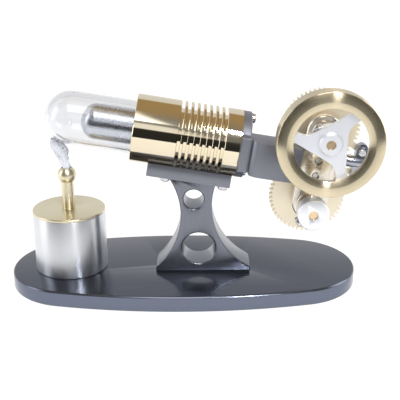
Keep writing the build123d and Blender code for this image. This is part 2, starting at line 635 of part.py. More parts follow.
def tooth_half_angle(radius):
    """Half the angle that a tooth spans at a radius."""
    pressure = math.radians(PRESSURE_ANGLE)
    base = PITCH_RADIUS * math.cos(pressure)
    at_pitch = math.pi / (2 * GEAR_TEETH) - TOOTH_THINNING / (2 * PITCH_RADIUS)
    here = math.acos(min(1.0, base / radius))
    return at_pitch + involute(pressure) - involute(here)


def polar(radius, angle):
    """Point at a radius and an angle in radians."""
    return (radius * math.cos(angle), radius * math.sin(angle))


def gear(side):
    """Spur gear with involute flanks, on its crankshaft, with a hole for the crank pin."""
    tip = PITCH_RADIUS + GEAR_MODULE
    root = PITCH_RADIUS - 1.25 * GEAR_MODULE
    step = 2 * math.pi / GEAR_TEETH
    first = math.radians(-90 * side) + (0 if side == UPPER else step / 2)
    outline = []
    for tooth in range(GEAR_TEETH):
        middle = first + tooth * step
        flank = [(radius, tooth_half_angle(radius)) for radius in (root, PITCH_RADIUS, tip)]
        rise = [polar(radius, middle - half) for radius, half in flank]
        fall = [polar(radius, middle + half) for radius, half in reversed(flank)]
        next_foot = polar(root, middle + step - flank[0][1])
        outline.append(ThreePointArc(*rise))
        outline.append(Line(rise[-1], fall[0]))
        outline.append(ThreePointArc(*fall))
        outline.append(Line(fall[-1], next_foot))
    v = side * PITCH_RADIUS
    wheel = Pos(0, GEAR_BACK, v) * Rot(90, 0, 0) * extrude(make_face(outline), GEAR_THICKNESS)
    wheel -= disc(SHAFT_RADIUS + SNUG, GEAR_FRONT - 1, GEAR_BACK + 1, 0, v)
    wheel -= disc(PIN_RADIUS + SNUG, GEAR_FRONT - 1, GEAR_BACK + 1, PIN_U, side * PIN_V)
    return ENGINE * wheel


def crankshaft(side):
    """Plain shaft from the flywheel's hub, or from the collar, to its gear."""
    front = (HUB_FRONT if side == UPPER else COLLAR_FRONT) + SHAFT_SUNK
    shaft = disc(SHAFT_RADIUS, front, GEAR_BACK, 0, side * PITCH_RADIUS)
    return ENGINE * chamfer(shaft.edges().group_by(Axis.Y)[0], 0.3)


def shaft_spacer(side):
    """Sleeve between the bearing and the hub or collar."""
    back = BUSH_FRONT - RUNNING
    front = HUB_BACK if side == UPPER else COLLAR_BACK
    v = side * PITCH_RADIUS
    sleeve = disc(SPACER_RADIUS, front, back, 0, v)
    return ENGINE * (sleeve - disc(SHAFT_RADIUS + SNUG, front - 1, back + 1, 0, v))


def crank_pin(side):
    """Shouldered pin that stands on the gear and carries two connecting rods."""
    v = side * PIN_V
    pin = disc(PIN_RADIUS, GEAR_FRONT, PIN_END + 1.4, PIN_U, v)
    pin += disc(PIN_SHOULDER_RADIUS, GEAR_BACK, DISPLACER_LAYER - SIDE_GAP, PIN_U, v)
    pin -= disc(PIN_RADIUS + 1, PIN_END, PIN_END + 0.6, PIN_U, v)
    pin += disc(PIN_RADIUS - 0.3, PIN_END - 0.1, PIN_END + 0.7, PIN_U, v)
    return ENGINE * pin


def pin_clip(side):
    """Snap ring in the groove at the crank pin's end."""
    v = side * PIN_V
    clip = disc(PIN_RADIUS + 1.1, PIN_END + 0.03, PIN_END + 0.57, PIN_U, v)
    clip -= disc(PIN_RADIUS - 0.3 + SNUG, PIN_END - 1, PIN_END + 2, PIN_U, v)
    mouth = block((PIN_U - 3, PIN_U), (PIN_END - 1, PIN_END + 2), (v - 0.6, v + 0.6))
    return ENGINE * (clip - mouth)


# ------------------------------------------------------------------ connecting rods and yokes
def connecting_rod(side, pivot_u, layer):
    """Flat rod from the crank pin to a yoke's pivot."""
    big = (PIN_U, side * PIN_V)
    small = (pivot_u, side * PIVOT_OFFSET)
    back = layer + ROD_THICKNESS
    length = math.hypot(small[0] - big[0], small[1] - big[1])
    turn = math.degrees(math.atan2(small[1] - big[1], small[0] - big[0]))
    web = block((0, length), (layer, back), (-ROD_WIDTH / 2, ROD_WIDTH / 2))
    rod = Pos(big[0], 0, big[1]) * Rot(0, -turn, 0) * web
    rod += disc(BIG_END_RADIUS, layer, back, *big)
    rod += disc(SMALL_END_RADIUS, layer, back, *small)
    rod -= disc(PIN_RADIUS + RUNNING, layer - 1, back + 1, *big)
    rod -= disc(PIVOT_PIN_RADIUS + SNUG, layer - 1, back + 1, *small)
    return ENGINE * rod


def rod_pin(side, pivot_u, layer):
    """Riveted pin in the rod's small end; it stops just short of the yoke."""
    v = side * PIVOT_OFFSET
    back = layer + ROD_THICKNESS
    pin = disc(PIVOT_PIN_RADIUS, layer - SIDE_GAP / 3, back + 0.1, pivot_u, v)
    head = disc(PIVOT_PIN_RADIUS + 0.7, back, back + 0.5, pivot_u, v)
    return ENGINE * (pin + head)


def yoke(u, boss_back, hub_u, bore):
    """Cross-bar with a pivot boss at each end and a hub on the cylinder axis."""
    end_v = YOKE_REACH - YOKE_END_RADIUS
    shape = block((u - YOKE_END_RADIUS, u + YOKE_END_RADIUS), (YOKE_FRONT, YOKE_BACK), (-end_v, end_v))
    for side in (UPPER, LOWER):
        shape += disc(YOKE_END_RADIUS, YOKE_FRONT, YOKE_BACK, u, side * end_v)
        if boss_back > YOKE_BACK:
            shape += disc(SMALL_END_RADIUS, YOKE_BACK, boss_back, u, side * PIVOT_OFFSET)
    shape += bar(YOKE_BOSS_RADIUS, *hub_u)
    if boss_back <= YOKE_BACK:
        flat = block((hub_u[0] - 1, hub_u[1] + 1), (YOKE_BACK, 2 * YOKE_BACK), (-end_v, end_v))
        shape -= flat
    shape -= bar(bore, min(hub_u) - 1, max(hub_u) + 1)
    for side in (UPPER, LOWER):
        shape -= disc(PIVOT_PIN_RADIUS + SNUG, YOKE_FRONT - 1, boss_back + 1, u, side * PIVOT_OFFSET)
    return shape


def yoke_pivot_screws(u, boss_back):
    """Pivot screws in a yoke: a head in front, the shank flush behind."""
    screws = []
    for side in (UPPER, LOWER):
        shank = boss_back - YOKE_FRONT
        screw = pan_screw(M2_HEAD, M2_HEAD_HEIGHT, PIVOT_PIN_RADIUS, shank)
        screws.append(ENGINE * along((u, YOKE_FRONT, side * PIVOT_OFFSET), (0, -1, 0)) * screw)
    return group(screws)


POWER_BOSS_BACK = POWER_LAYER - SIDE_GAP
POWER_HUB = (POWER_U - YOKE_END_RADIUS - 2.0, POWER_U + YOKE_END_RADIUS)
DISPLACER_HUB = (DISPLACER_U - YOKE_END_RADIUS - 8.0, DISPLACER_U + YOKE_END_RADIUS)


def power_yoke():
    """Yoke on the piston's tube."""
    return ENGINE * yoke(POWER_U, POWER_BOSS_BACK, POWER_HUB, PISTON_TUBE_RADIUS - TUBE_WALL / 2 + SNUG)


def displacer_yoke():
    """Yoke clamped on the displacer's rod."""
    return ENGINE * yoke(DISPLACER_U, YOKE_BACK, DISPLACER_HUB, DISPLACER_ROD_RADIUS + SNUG)


def hex_nut(u0, thickness, across, bore):
    """Nut on the cylinder axis."""
    nut = Pos(u0, 0, 0) * Rot(0, 90, 0) * extrude(RegularPolygon(across / math.sqrt(3), 6), thickness)
    return ENGINE * (nut - bar(bore, u0 - 1, u0 + thickness + 1))


# ------------------------------------------------------------------ pistons
def power_piston():
    """Piston with two oil grooves, sliding in the cylinder's bore."""
    piston = bar(BORE_RADIUS - RUNNING, PISTON_FRONT, PISTON_BACK)
    piston = chamfer(rim_edges(piston, BORE_RADIUS - RUNNING), 0.3)
    for share in (0.3, 0.6):
        u = PISTON_FRONT + share * PISTON_LENGTH
        groove = bar(BORE_RADIUS + 1, u, u + 0.8) - bar(BORE_RADIUS - 0.6, u - 1, u + 2)
        piston -= groove
    piston -= bar(DISPLACER_ROD_RADIUS + RUNNING, PISTON_FRONT - 1, PISTON_BACK + 1)
    return ENGINE * piston


def piston_tube():
    """Hollow piston rod: stepped down where the yoke sits, threaded for its nut."""
    step = PISTON_TUBE_RADIUS - TUBE_WALL / 2
    tube = bar(PISTON_TUBE_RADIUS, PISTON_BACK, POWER_HUB[0])
    tube += bar(step, POWER_HUB[0], POWER_HUB[1] + 3.0)
    tube -= bar(PISTON_TUBE_RADIUS - TUBE_WALL, PISTON_BACK - 1, POWER_HUB[1] + 4)
    return ENGINE * tube


def displacer_shell():
    """Closed can with a domed nose."""
    def can(radius, nose, front, back):
        centre = front + nose
        dome = Pos(centre, 0, 0) * Rot(0, 90, 0) * Sphere(radius)
        dome = scale(Pos(-centre, 0, 0) * dome, (nose / radius, 1, 1))
        return Pos(centre, 0, 0) * dome + bar(radius, centre, back)

    wall = DISPLACER_WALL
    outside = can(DISPLACER_RADIUS, DISPLACER_NOSE, DISPLACER_FRONT, DISPLACER_BACK)
    inside = can(DISPLACER_RADIUS - wall, DISPLACER_NOSE - wall, DISPLACER_FRONT + wall,
                 DISPLACER_BACK + 1)
    return ENGINE * (outside - inside)


def displacer_plug():
    """Bottom of the can, with the boss that holds the rod."""
    radius = DISPLACER_RADIUS - DISPLACER_WALL - SNUG
    plug = bar(radius, DISPLACER_BACK - 2.5, DISPLACER_BACK)
    plug += bar(3.5, DISPLACER_BACK - 8.0, DISPLACER_BACK)
    plug -= bar(DISPLACER_ROD_RADIUS + SNUG, DISPLACER_BACK - 7.0, DISPLACER_BACK + 1)
    return ENGINE * plug


def displacer_rod():
    """Thin rod through the piston, from the displacer to its yoke."""
    return ENGINE * bar(DISPLACER_ROD_RADIUS, DISPLACER_BACK - 7.0, DISPLACER_HUB[1] + 3.2)


# ------------------------------------------------------------------ flywheel and collar
def flywheel_rim():
    """Heavy ring with a dished face, counterbored from behind for the spider."""
    edge = RIM_EDGE
    dish = RIM_FRONT + RIM_DISH_DEPTH
    step = RIM_FRONT + RIM_STEP_DEPTH
    seat_y = SPIDER_FRONT
    profile = Polyline(
        (RIM_RADIUS, RIM_BACK - edge), (RIM_RADIUS, RIM_FRONT + edge), (RIM_RADIUS - edge, RIM_FRONT),
        (RIM_DISH_RADIUS, dish), (RIM_STEP_RADIUS, step), (RIM_OPENING_RADIUS, OPENING_EDGE),
        (RIM_OPENING_RADIUS, seat_y), (SPIDER_SEAT_RADIUS + SNUG, seat_y),
        (SPIDER_SEAT_RADIUS + SNUG, RIM_BACK), (RIM_RADIUS - edge, RIM_BACK), close=True)
    ring = revolve(make_face(profile), Axis.Y)
    ring = fillet(rim_edges(ring, RIM_DISH_RADIUS) + rim_edges(ring, RIM_STEP_RADIUS), 0.9)
    return ENGINE * Pos(0, 0, PITCH_RADIUS) * ring


def spider_window():
    """One window: a straight flank, a radial flank and the ring's inside."""
    ring = SPIDER_RING_RADIUS
    low = (SPIDER_WEB_RADIUS, -math.sqrt(ring ** 2 - SPIDER_WEB_RADIUS ** 2))
    arm = math.radians(SPIDER_ARM_ANGLE)
    corner = (SPIDER_WEB_RADIUS, SPIDER_WEB_RADIUS * math.tan(arm))
    high = polar(ring, arm)
    middle = polar(ring, (arm + math.atan2(low[1], low[0])) / 2)
    face = make_face([Line(low, corner), Line(corner, high), ThreePointArc(high, middle, low)])
    inner = face.vertices().sort_by_distance((corner[0], corner[1], 0))[0]
    face = fillet(inner, SPIDER_FILLET)
    outer = face.vertices().filter_by(
        lambda vertex: math.hypot(vertex.X, vertex.Y) > ring - 0.01)
    return fillet(outer, SPIDER_RIM_FILLET)


def flywheel_spider():
    """Three-armed wheel centre with a front boss and a rear hub."""
    wheel = disc(SPIDER_SEAT_RADIUS, SPIDER_FRONT, SPIDER_BACK)
    window = Rot(90, 0, 0) * extrude(spider_window(), 4 * SPIDER_THICKNESS, both=True)
    for arm in range(3):
        turn = SPIDER_TURN + TILT + 120 * arm
        wheel -= Pos(0, SPIDER_FRONT, 0) * Rot(0, -turn, 0) * window
    boss = disc(HUB_FRONT_RADIUS, HUB_FRONT, SPIDER_FRONT)
    wheel += chamfer(boss.edges().group_by(Axis.Y)[0], HUB_FRONT_CHAMFER)
    hub = disc(HUB_REAR_RADIUS, SPIDER_BACK, HUB_BACK)
    wheel += chamfer(hub.edges().group_by(Axis.Y)[-1], 0.5)
    wheel -= disc(SHAFT_RADIUS + SNUG, HUB_FRONT - 1, HUB_BACK + 1)
    wheel = Pos(0, 0, PITCH_RADIUS) * wheel
    screw_y = (SPIDER_BACK + HUB_BACK) / 2
    wheel -= radial_hole(SET_SCREW_ANGLE, UPPER, screw_y, HUB_REAR_RADIUS)
    return ENGINE * wheel


def radial_frame(angle, side, y, radius):
    """Location on a hub's surface, with Z pointing outwards; the angle is in the row frame."""
    turn = math.radians(angle + TILT)
    direction = (math.cos(turn), 0, math.sin(turn))
    origin = (radius * direction[0], y, side * PITCH_RADIUS + radius * direction[2])
    return along(origin, direction)


def radial_hole(angle, side, y, radius):
    """Tapped hole from a hub's surface to the shaft, with a flat for the screw's head."""
    hole = Pos(0, 0, -radius / 2 - 0.3) * Cylinder(M3_THREAD + TAPPED, radius + 1.4)
    flat = Pos(0, 0, 1.5 - M3_FLAT) * Cylinder(M3_HEAD + HEAD_PLAY, 3)
    return radial_frame(angle, side, y, radius) * (hole + flat)


M3_FLAT = 0.6                # depth of the flat under a radial screw's head


def radial_screw(angle, side, y, radius):
    """Pan-head screw that clamps a hub to its shaft."""
    length = radius - M3_FLAT - SHAFT_RADIUS - 0.1
    screw = Pos(0, 0, -M3_FLAT) * pan_screw(M3_HEAD, M3_HEAD_HEIGHT, M3_THREAD, length)
    return ENGINE * radial_frame(angle, side, y, radius) * screw


def shaft_collar():
    """Collar on the lower shaft's front end."""
    v = -PITCH_RADIUS
    collar = disc(COLLAR_RADIUS, COLLAR_FRONT, COLLAR_BACK, 0, v)
    collar = chamfer(rim_edges(collar, COLLAR_RADIUS), 0.4)
    collar -= disc(SHAFT_RADIUS + SNUG, COLLAR_FRONT - 1, COLLAR_BACK + 1, 0, v)
    middle = (COLLAR_FRONT + COLLAR_BACK) / 2
    return ENGINE * (collar - radial_hole(COLLAR_SCREW_ANGLE, LOWER, middle, COLLAR_RADIUS))


# ------------------------------------------------------------------ spirit lamp
def lamp_reservoir():
    """Open-topped metal cup."""
    top = BASE_THICKNESS + LAMP_HEIGHT
    cup = post(LAMP_RADIUS, BASE_THICKNESS, top, LAMP_X)
    cup = chamfer(cup.edges().group_by(Axis.Z)[0], 0.5)
    return cup - post(LAMP_RADIUS - LAMP_WALL, BASE_THICKNESS + LAMP_FLOOR, top + 1, LAMP_X)


def lamp_lid():
    """Brass lid with a spigot that fits inside the cup."""
    under = LID_TOP - LID_THICKNESS
    lid = post(LAMP_RADIUS, under, LID_TOP, LAMP_X)
    lid = chamfer(lid.edges().group_by(Axis.Z)[-1], 0.3)
    spigot = post(LAMP_RADIUS - LAMP_WALL - 2 * RUNNING, under - LID_SPIGOT, under, LAMP_X)
    lid += spigot - post(LAMP_RADIUS - 2 * LAMP_WALL, under - LID_SPIGOT - 1, under, LAMP_X)
    return lid - post(WICK_TUBE_RADIUS + SNUG, under - 1, LID_TOP + 1, LAMP_X)


def wick_tube():
    """Tube and ball that hold the wick."""
    ball_z = LID_TOP + WICK_BALL_HEIGHT
    mouth_z = ball_z + math.sqrt(WICK_BALL_RADIUS ** 2 - WICK_MOUTH_RADIUS ** 2)
    tube = post(WICK_TUBE_RADIUS, LID_TOP - WICK_TUBE_BELOW, ball_z, LAMP_X)
    tube += Pos(LAMP_X, 0, ball_z) * Sphere(WICK_BALL_RADIUS)
    tube -= post(WICK_BALL_RADIUS, mouth_z, mouth_z + WICK_BALL_RADIUS, LAMP_X)
    tube -= post(WICK_TUBE_BORE, LID_TOP - WICK_TUBE_BELOW - 1, mouth_z + 1, LAMP_X)
    throat = mouth_z - ball_z
    tube -= Pos(LAMP_X, 0, mouth_z - throat / 2) * Cone(WICK_TUBE_BORE, WICK_MOUTH_RADIUS - 0.2, throat)
    return tube


def wick():
    """Cotton wick: a cord in the tube and a loose tuft that leans away from the engine."""
    ball_z = LID_TOP + WICK_BALL_HEIGHT
    mouth_z = ball_z + math.sqrt(WICK_BALL_RADIUS ** 2 - WICK_MOUTH_RADIUS ** 2)
    cord = post(WICK_TUBE_BORE - 0.15, LID_TOP - WICK_TAIL, mouth_z, LAMP_X)
    sections = []
    for share, lean, half_x, half_y in ((0.0, 0.0, 2.3, 2.2), (0.2, 0.22, 2.7, 2.4),
                                        (0.38, 0.5, 3.4, 2.7), (0.6, 0.85, 4.4, 3.2),
                                        (0.85, 1.3, 3.6, 2.9), (1.0, 1.75, 1.6, 1.7)):
        place = Pos(LAMP_X - WICK_LEAN * lean, 0, mouth_z + share * WICK_RISE)
        sections.append(place * Ellipse(half_x, half_y))
    centre = GLASS_TIP + GLASS_RADIUS
    reach = GLASS_RADIUS + WICK_GLASS_GAP
    hot_end = bar(reach, centre, centre + 3 * reach) + Pos(centre, 0, 0) * Sphere(reach)
    return cord + (loft(sections) - ENGINE * hot_end)


# ------------------------------------------------------------------ the nodes
NODES = {
    "base_plate": base_plate(),
    "column": column(),
    "column_screws": column_screws(),
    "cradle_pad": cradle_pad(),
    "pad_screws": pad_screws(),
    "column_top_screws": column_top_screws(),
    "cylinder_body": cylinder_body(),
    "glass_tube": glass_tube(),
    "glass_seals": glass_seals(),
    "frame_bracket": frame_bracket(),
    "flange_screws": flange_screws(),
    "bearing_plate": bearing_plate(),
    "plate_screws": plate_screws(),
    "flywheel_rim": flywheel_rim(),
    "flywheel_spider": flywheel_spider(),
    "flywheel_set_screw": radial_screw(SET_SCREW_ANGLE, UPPER, (SPIDER_BACK + HUB_BACK) / 2,
                                       HUB_REAR_RADIUS),
    "shaft_collar": shaft_collar(),
    "collar_screw": radial_screw(COLLAR_SCREW_ANGLE, LOWER, (COLLAR_FRONT + COLLAR_BACK) / 2,
                                 COLLAR_RADIUS),
    "power_piston": power_piston(),
    "piston_tube": piston_tube(),
    "power_yoke": power_yoke(),
    "power_yoke_screws": yoke_pivot_screws(POWER_U, POWER_BOSS_BACK),
    "power_yoke_nut": hex_nut(POWER_HUB[1], 2.4, 8.0, PISTON_TUBE_RADIUS - TUBE_WALL / 2 + TAPPED),
    "displacer_shell": displacer_shell(),
    "displacer_plug": displacer_plug(),
    "displacer_rod": displacer_rod(),
    "displacer_yoke": displacer_yoke(),
    "displacer_yoke_screws": yoke_pivot_screws(DISPLACER_U, YOKE_BACK),
    "displacer_yoke_nut": hex_nut(DISPLACER_HUB[1], 2.4, 5.5, DISPLACER_ROD_RADIUS + TAPPED),
    "lamp_reservoir": lamp_reservoir(),
    "lamp_lid": lamp_lid(),
    "wick_tube": wick_tube(),
    "wick": wick(),
}
for name, side in (("upper", UPPER), ("lower", LOWER)):
    NODES[name + "_bush"] = bearing_bush(side)
    NODES[name + "_gear"] = gear(side)
    NODES[name + "_shaft"] = crankshaft(side)
    NODES[name + "_spacer"] = shaft_spacer(side)
    NODES[name + "_crank_pin"] = crank_pin(side)
    NODES[name + "_pin_clip"] = pin_clip(side)
    for use, pivot_u, layer in (("displacer", DISPLACER_U, DISPLACER_LAYER),
                                ("power", POWER_U, POWER_LAYER)):
        NODES[name + "_" + use + "_rod"] = connecting_rod(side, pivot_u, layer)
        NODES[name + "_" + use + "_rod_pin"] = rod_pin(side, pivot_u, layer)

for node, shape in NODES.items():
    export_step(shape, os.path.join("parts", node + ".step"))
print(len(NODES), "nodes; cranks at", [round(value, 2) for value in (CRANK_X, CRANK_Z)],
      "power yoke u", round(POWER_U, 2), "displacer yoke u", round(DISPLACER_U, 2))
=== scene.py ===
# %% [markdown]
# # A desk-top Stirling engine with a spirit lamp
#
# The engine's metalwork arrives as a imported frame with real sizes. This lesson gives every
# part its finish, models the soft and the finely rounded pieces that the frame only
# stands in for, and sets up a small studio around them. Everything is in metres.

# %% Load the frame
import json
import math
import random
import bmesh
import bpy
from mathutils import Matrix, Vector
from mathutils import noise as spatial
from mathutils.bvhtree import BVHTree

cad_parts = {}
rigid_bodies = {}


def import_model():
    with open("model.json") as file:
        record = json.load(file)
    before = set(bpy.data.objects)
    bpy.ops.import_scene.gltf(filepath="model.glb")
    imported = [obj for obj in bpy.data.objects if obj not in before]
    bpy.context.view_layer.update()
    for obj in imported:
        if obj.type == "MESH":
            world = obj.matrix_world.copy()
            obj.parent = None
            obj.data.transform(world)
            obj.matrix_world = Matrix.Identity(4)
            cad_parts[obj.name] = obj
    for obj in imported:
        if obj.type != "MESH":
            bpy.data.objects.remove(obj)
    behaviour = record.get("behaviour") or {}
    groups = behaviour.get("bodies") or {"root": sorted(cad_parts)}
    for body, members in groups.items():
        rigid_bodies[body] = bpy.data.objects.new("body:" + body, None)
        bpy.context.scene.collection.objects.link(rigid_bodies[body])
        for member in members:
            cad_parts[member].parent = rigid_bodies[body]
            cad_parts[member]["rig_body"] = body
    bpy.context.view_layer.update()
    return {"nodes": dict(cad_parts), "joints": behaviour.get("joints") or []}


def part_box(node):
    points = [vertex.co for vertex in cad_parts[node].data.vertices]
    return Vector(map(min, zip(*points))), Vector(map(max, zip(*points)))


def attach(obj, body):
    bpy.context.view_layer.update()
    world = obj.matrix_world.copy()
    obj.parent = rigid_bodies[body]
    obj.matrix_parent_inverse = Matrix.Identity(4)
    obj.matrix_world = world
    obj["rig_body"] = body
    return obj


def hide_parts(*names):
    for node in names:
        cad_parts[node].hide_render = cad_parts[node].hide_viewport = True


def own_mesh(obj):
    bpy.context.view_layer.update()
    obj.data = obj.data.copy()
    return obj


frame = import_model()
nodes = frame["nodes"]

# %% [markdown]
# ## Where things are
#
# Places could be typed in as numbers, but a new size in the frame would leave them
# behind. Here they are read from the parts themselves. The two crankshafts are hinges in
# the record, and the cylinder's slope is the slide direction of the piston.

# %% Measure the frame
def middle_of(node):
    """Centre of a part's box."""
    low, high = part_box(node)
    return (low + high) / 2


def joint_named(name):
    """One joint of the record."""
    return [joint for joint in frame["joints"] if joint["name"] == name][0]


base_low, base_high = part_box("base_plate")
base_top = base_high.z
upper_axle = Vector(joint_named("flywheel_spin")["pos_m"])
lower_axle = Vector(joint_named("lower_shaft_spin")["pos_m"])
cylinder_axis = Vector(joint_named("piston_slide")["axis"])
cylinder_slope = math.atan2(-cylinder_axis.z, cylinder_axis.x)
cranks_middle = (upper_axle + lower_axle) / 2
print("base top", round(base_top, 4), "slope", round(math.degrees(cylinder_slope), 2))

# %% [markdown]
# ## The camera
#
# A small product is best seen from well back, through a long lens and slightly from
# above, so that its upright lines stay nearly parallel. A camera could be dragged into
# place. This one hangs on a sphere around a point above the base, because an angle and a
# distance are easy to read and to change.

# %% Place the camera
VIEW_AZIMUTH = -0.07
VIEW_ELEVATION = 20.58
VIEW_DISTANCE = 0.4881
VIEW_ROLL = -0.33
VIEW_SHIFT = 0.00964    # point looked at, in X from the base's middle
VIEW_RISE = 0.03971     # and its height above the base
LENS_MM = 77.18
SENSOR_MM = 36.0


def place_camera():
    """Camera on a sphere around a point just above the base."""
    base_middle = (base_low.x + base_high.x) / 2
    target = Vector((base_middle + VIEW_SHIFT, 0, base_top + VIEW_RISE))
    azimuth, elevation = math.radians(VIEW_AZIMUTH), math.radians(VIEW_ELEVATION)
    back = Vector((math.sin(azimuth) * math.cos(elevation),
                   -math.cos(azimuth) * math.cos(elevation), math.sin(elevation)))
    camera = bpy.data.objects.new("camera", bpy.data.cameras.new("camera"))
    bpy.context.scene.collection.objects.link(camera)
    camera.location = target + back * VIEW_DISTANCE
    camera.rotation_euler = (-back).to_track_quat("-Z", "Y").to_euler()
    camera.rotation_euler.rotate_axis("Z", math.radians(VIEW_ROLL))
    camera.data.lens = LENS_MM
    camera.data.sensor_width = SENSOR_MM
    bpy.context.scene.camera = camera
    return camera


camera = place_camera()
print("camera at", [round(v, 4) for v in camera.location])

# %% [markdown]
# ## The studio
#
# Polished metal shows nothing but its surroundings, so the room matters more than the
# lamps. It could be an image of a real studio, but a world made of ramps needs no file,
# and each band of light can be set by itself. This one is a soft tent: bright behind the
# object, warm and dim overhead, and dusky behind the camera, but for a narrow column of
# bright boxes there. Each ramp reads from straight down (0) to straight up (1), with a
# grey level or a colour at each stop. Only BOX_COLUMN reads from left (0) to right (1):
# it says where the boxes stand.

# %% Set the tent's levels of light
CEILING = (0.40, 0.285, 0.145)
BEHIND_OBJECT = [(0.0, 0.6), (0.49, 0.85), (0.66, 0.80), (0.87, 0.80), (0.905, CEILING),
                 (1.0, CEILING)]
BOXES_IN_FRONT = [(0.0, 0.02), (0.622, 0.03), (0.645, 1.0), (0.75, 1.0), (0.775, 0.35),
                  (0.812, 0.35), (0.832, 3.4), (0.972, 3.4), (0.982, CEILING), (1.0, CEILING)]
DUSK_IN_FRONT = [(0.0, 0.02), (0.60, 0.05), (0.66, 0.20), (0.90, 0.24), (1.0, CEILING)]
BOX_COLUMN = [(0.0, 0.0), (0.39, 0.0), (0.42, 1.0), (0.545, 1.0), (0.565, 0.0), (1.0, 0.0)]
print(len(BEHIND_OBJECT), "levels behind,", len(BOXES_IN_FRONT), "in front")

# %% [markdown]
# A world and a finish are both trees of nodes. They could be drawn by hand in the shader
# editor. Each helper below adds one node and returns what comes out of it, so that a
# tree reads as a short sum.

# %% Helpers for trees of nodes
def ramp(tree, factor, stops):
    """Colour ramp from (position, level) pairs; a level is a grey or a colour."""
    node = tree.nodes.new("ShaderNodeValToRGB")
    while len(node.color_ramp.elements) < len(stops):
        node.color_ramp.elements.new(0.5)
    for element, (position, level) in zip(node.color_ramp.elements, stops):
        element.position = position
        colour = level if isinstance(level, tuple) else (level, level, level)
        element.color = (*colour, 1.0)
    tree.links.new(factor, node.inputs["Fac"])
    return node.outputs["Color"]


def maths(tree, operation, first, second=None, third=None, clamp=False):
    """One Math node; inputs are sockets or numbers."""
    node = tree.nodes.new("ShaderNodeMath")
    node.operation = operation
    node.use_clamp = clamp
    for socket, value in zip(node.inputs, (first, second, third)):
        if isinstance(value, (int, float)):
            socket.default_value = value
        elif value is not None:
            tree.links.new(value, socket)
    return node.outputs[0]


def blend(tree, factor, first, second):
    """Mix of two colours, from the first at 0 to the second at 1; sockets or tuples."""
    node = tree.nodes.new("ShaderNodeMix")
    node.data_type = "RGBA"
    tree.links.new(factor, node.inputs[0])
    for socket, colour in ((node.inputs[6], first), (node.inputs[7], second)):
        if isinstance(colour, tuple):
            socket.default_value = (*colour, 1.0)
        else:
            tree.links.new(colour, socket)
    return node.outputs[2]


# %% [markdown]
# The direction of a ray gives its height and its side as numbers from 0 to 1, and these
# numbers read the ramps. The camera alone sees plain white. A white card could stand
# there instead, but the metal would then mirror it and lose the tent.

# %% Build the world
def build_world():
    """Soft tent of light around the object; the camera itself sees plain white."""
    world = bpy.data.worlds.new("studio_tent")
    world.use_nodes = True
    tree = world.node_tree
    background = tree.nodes["Background"]
    direction = tree.nodes.new("ShaderNodeTexCoord").outputs["Generated"]
    split = tree.nodes.new("ShaderNodeSeparateXYZ")
    tree.links.new(direction, split.inputs[0])
    height = maths(tree, "MULTIPLY_ADD", split.outputs["Z"], 0.5, 0.5)
    width = maths(tree, "MULTIPLY_ADD", split.outputs["X"], 0.5, 0.5)
    front = blend(tree, ramp(tree, width, BOX_COLUMN), ramp(tree, height, DUSK_IN_FRONT),
                  ramp(tree, height, BOXES_IN_FRONT))
    side = maths(tree, "MULTIPLY_ADD", split.outputs["Y"], 3.0, 0.5, clamp=True)
    tent = blend(tree, side, front, ramp(tree, height, BEHIND_OBJECT))
    seen = tree.nodes.new("ShaderNodeLightPath").outputs["Is Camera Ray"]
    tree.links.new(blend(tree, seen, tent, (1.0, 1.0, 1.0)), background.inputs["Color"])
    background.inputs["Strength"].default_value = 1.0
    bpy.context.scene.world = world
    return world


build_world()
bpy.context.scene.view_settings.view_transform = "Standard"
bpy.context.scene.view_settings.look = "None"
print("world ready")

# %% [markdown]
# Lamps add what the tent lacks. Point lamps would make hard dots on polished metal, so
# these are boxes with an area. The key is a narrow strip high in front: it draws the
# bright spokes on the flywheel's rim. The fill is broad and soft, and no polished metal
# mirrors it. A tall box on each side draws the upright bands on the lamp's cup.

# %% Add the softboxes
def softbox(name, place, size, watts, aim):
    """Rectangular area light that faces a point."""
    data = bpy.data.lights.new(name, "AREA")
    data.shape = "RECTANGLE"
    data.size, data.size_y = size
    data.energy = watts
    light = bpy.data.objects.new(name, data)
    bpy.context.scene.collection.objects.link(light)
    light.location = place
    light.rotation_euler = (Vector(aim) - Vector(place)).to_track_quat("-Z", "Y").to_euler()
    return light


softbox("key", (0.33, -0.90, 0.90), (0.05, 0.50), 8.0, (0.05, 0, 0.07))
fill = softbox("fill", (-0.1, -1.2, 0.35), (1.2, 0.6), 7.0, (0, 0, 0.06))
fill.visible_glossy = fill.visible_transmission = False
softbox("softbox_left", (-1.1, -0.2, 0.45), (0.5, 0.9), 3.0, (0, 0, 0.06))
softbox("softbox_right", (1.1, 0.1, 0.45), (0.6, 0.9), 4.0, (0, 0, 0.06))
print("lights ready")

# %% [markdown]
# ## The floor
#
# The object stands on a pale sweep of card that runs far behind it. A plain white plane
# would change its tone with every lamp. This one glows a little by itself, as over-lit
# paper does, so it stays near white and lights the metal from below. In front, the metal
# mirrors it only up to its edge, and the dark room beyond: that is what draws the black
# band along the brass. The apron only carries the card on for the eye.

# %% Lay the floor
FLOOR_FRONT = -0.335    # where the mirrored floor ends, in Y
FLOOR_REACH = 6.0       # how far the card runs, behind and in front
FLOOR_WIDTH = 12.0
FLOOR_GAP = 0.0002      # below the base's underside
FLOOR_GLOW = 0.80


def new_material(name):
    """Empty principled material; returns it, its tree and its shader."""
    material = bpy.data.materials.new(name)
    material.use_nodes = True
    return material, material.node_tree, material.node_tree.nodes["Principled BSDF"]


def lay_card(name, near, far, material):
    """Pale card between two distances in Y."""
    bpy.ops.object.select_all(action="DESELECT")
    bpy.ops.mesh.primitive_plane_add(size=1.0,
                                     location=(0, (near + far) / 2, base_low.z - FLOOR_GAP))
    card = bpy.context.object
    card.name = name
    card.scale = (FLOOR_WIDTH, far - near, 1.0)
    card.data.materials.append(material)
    return card


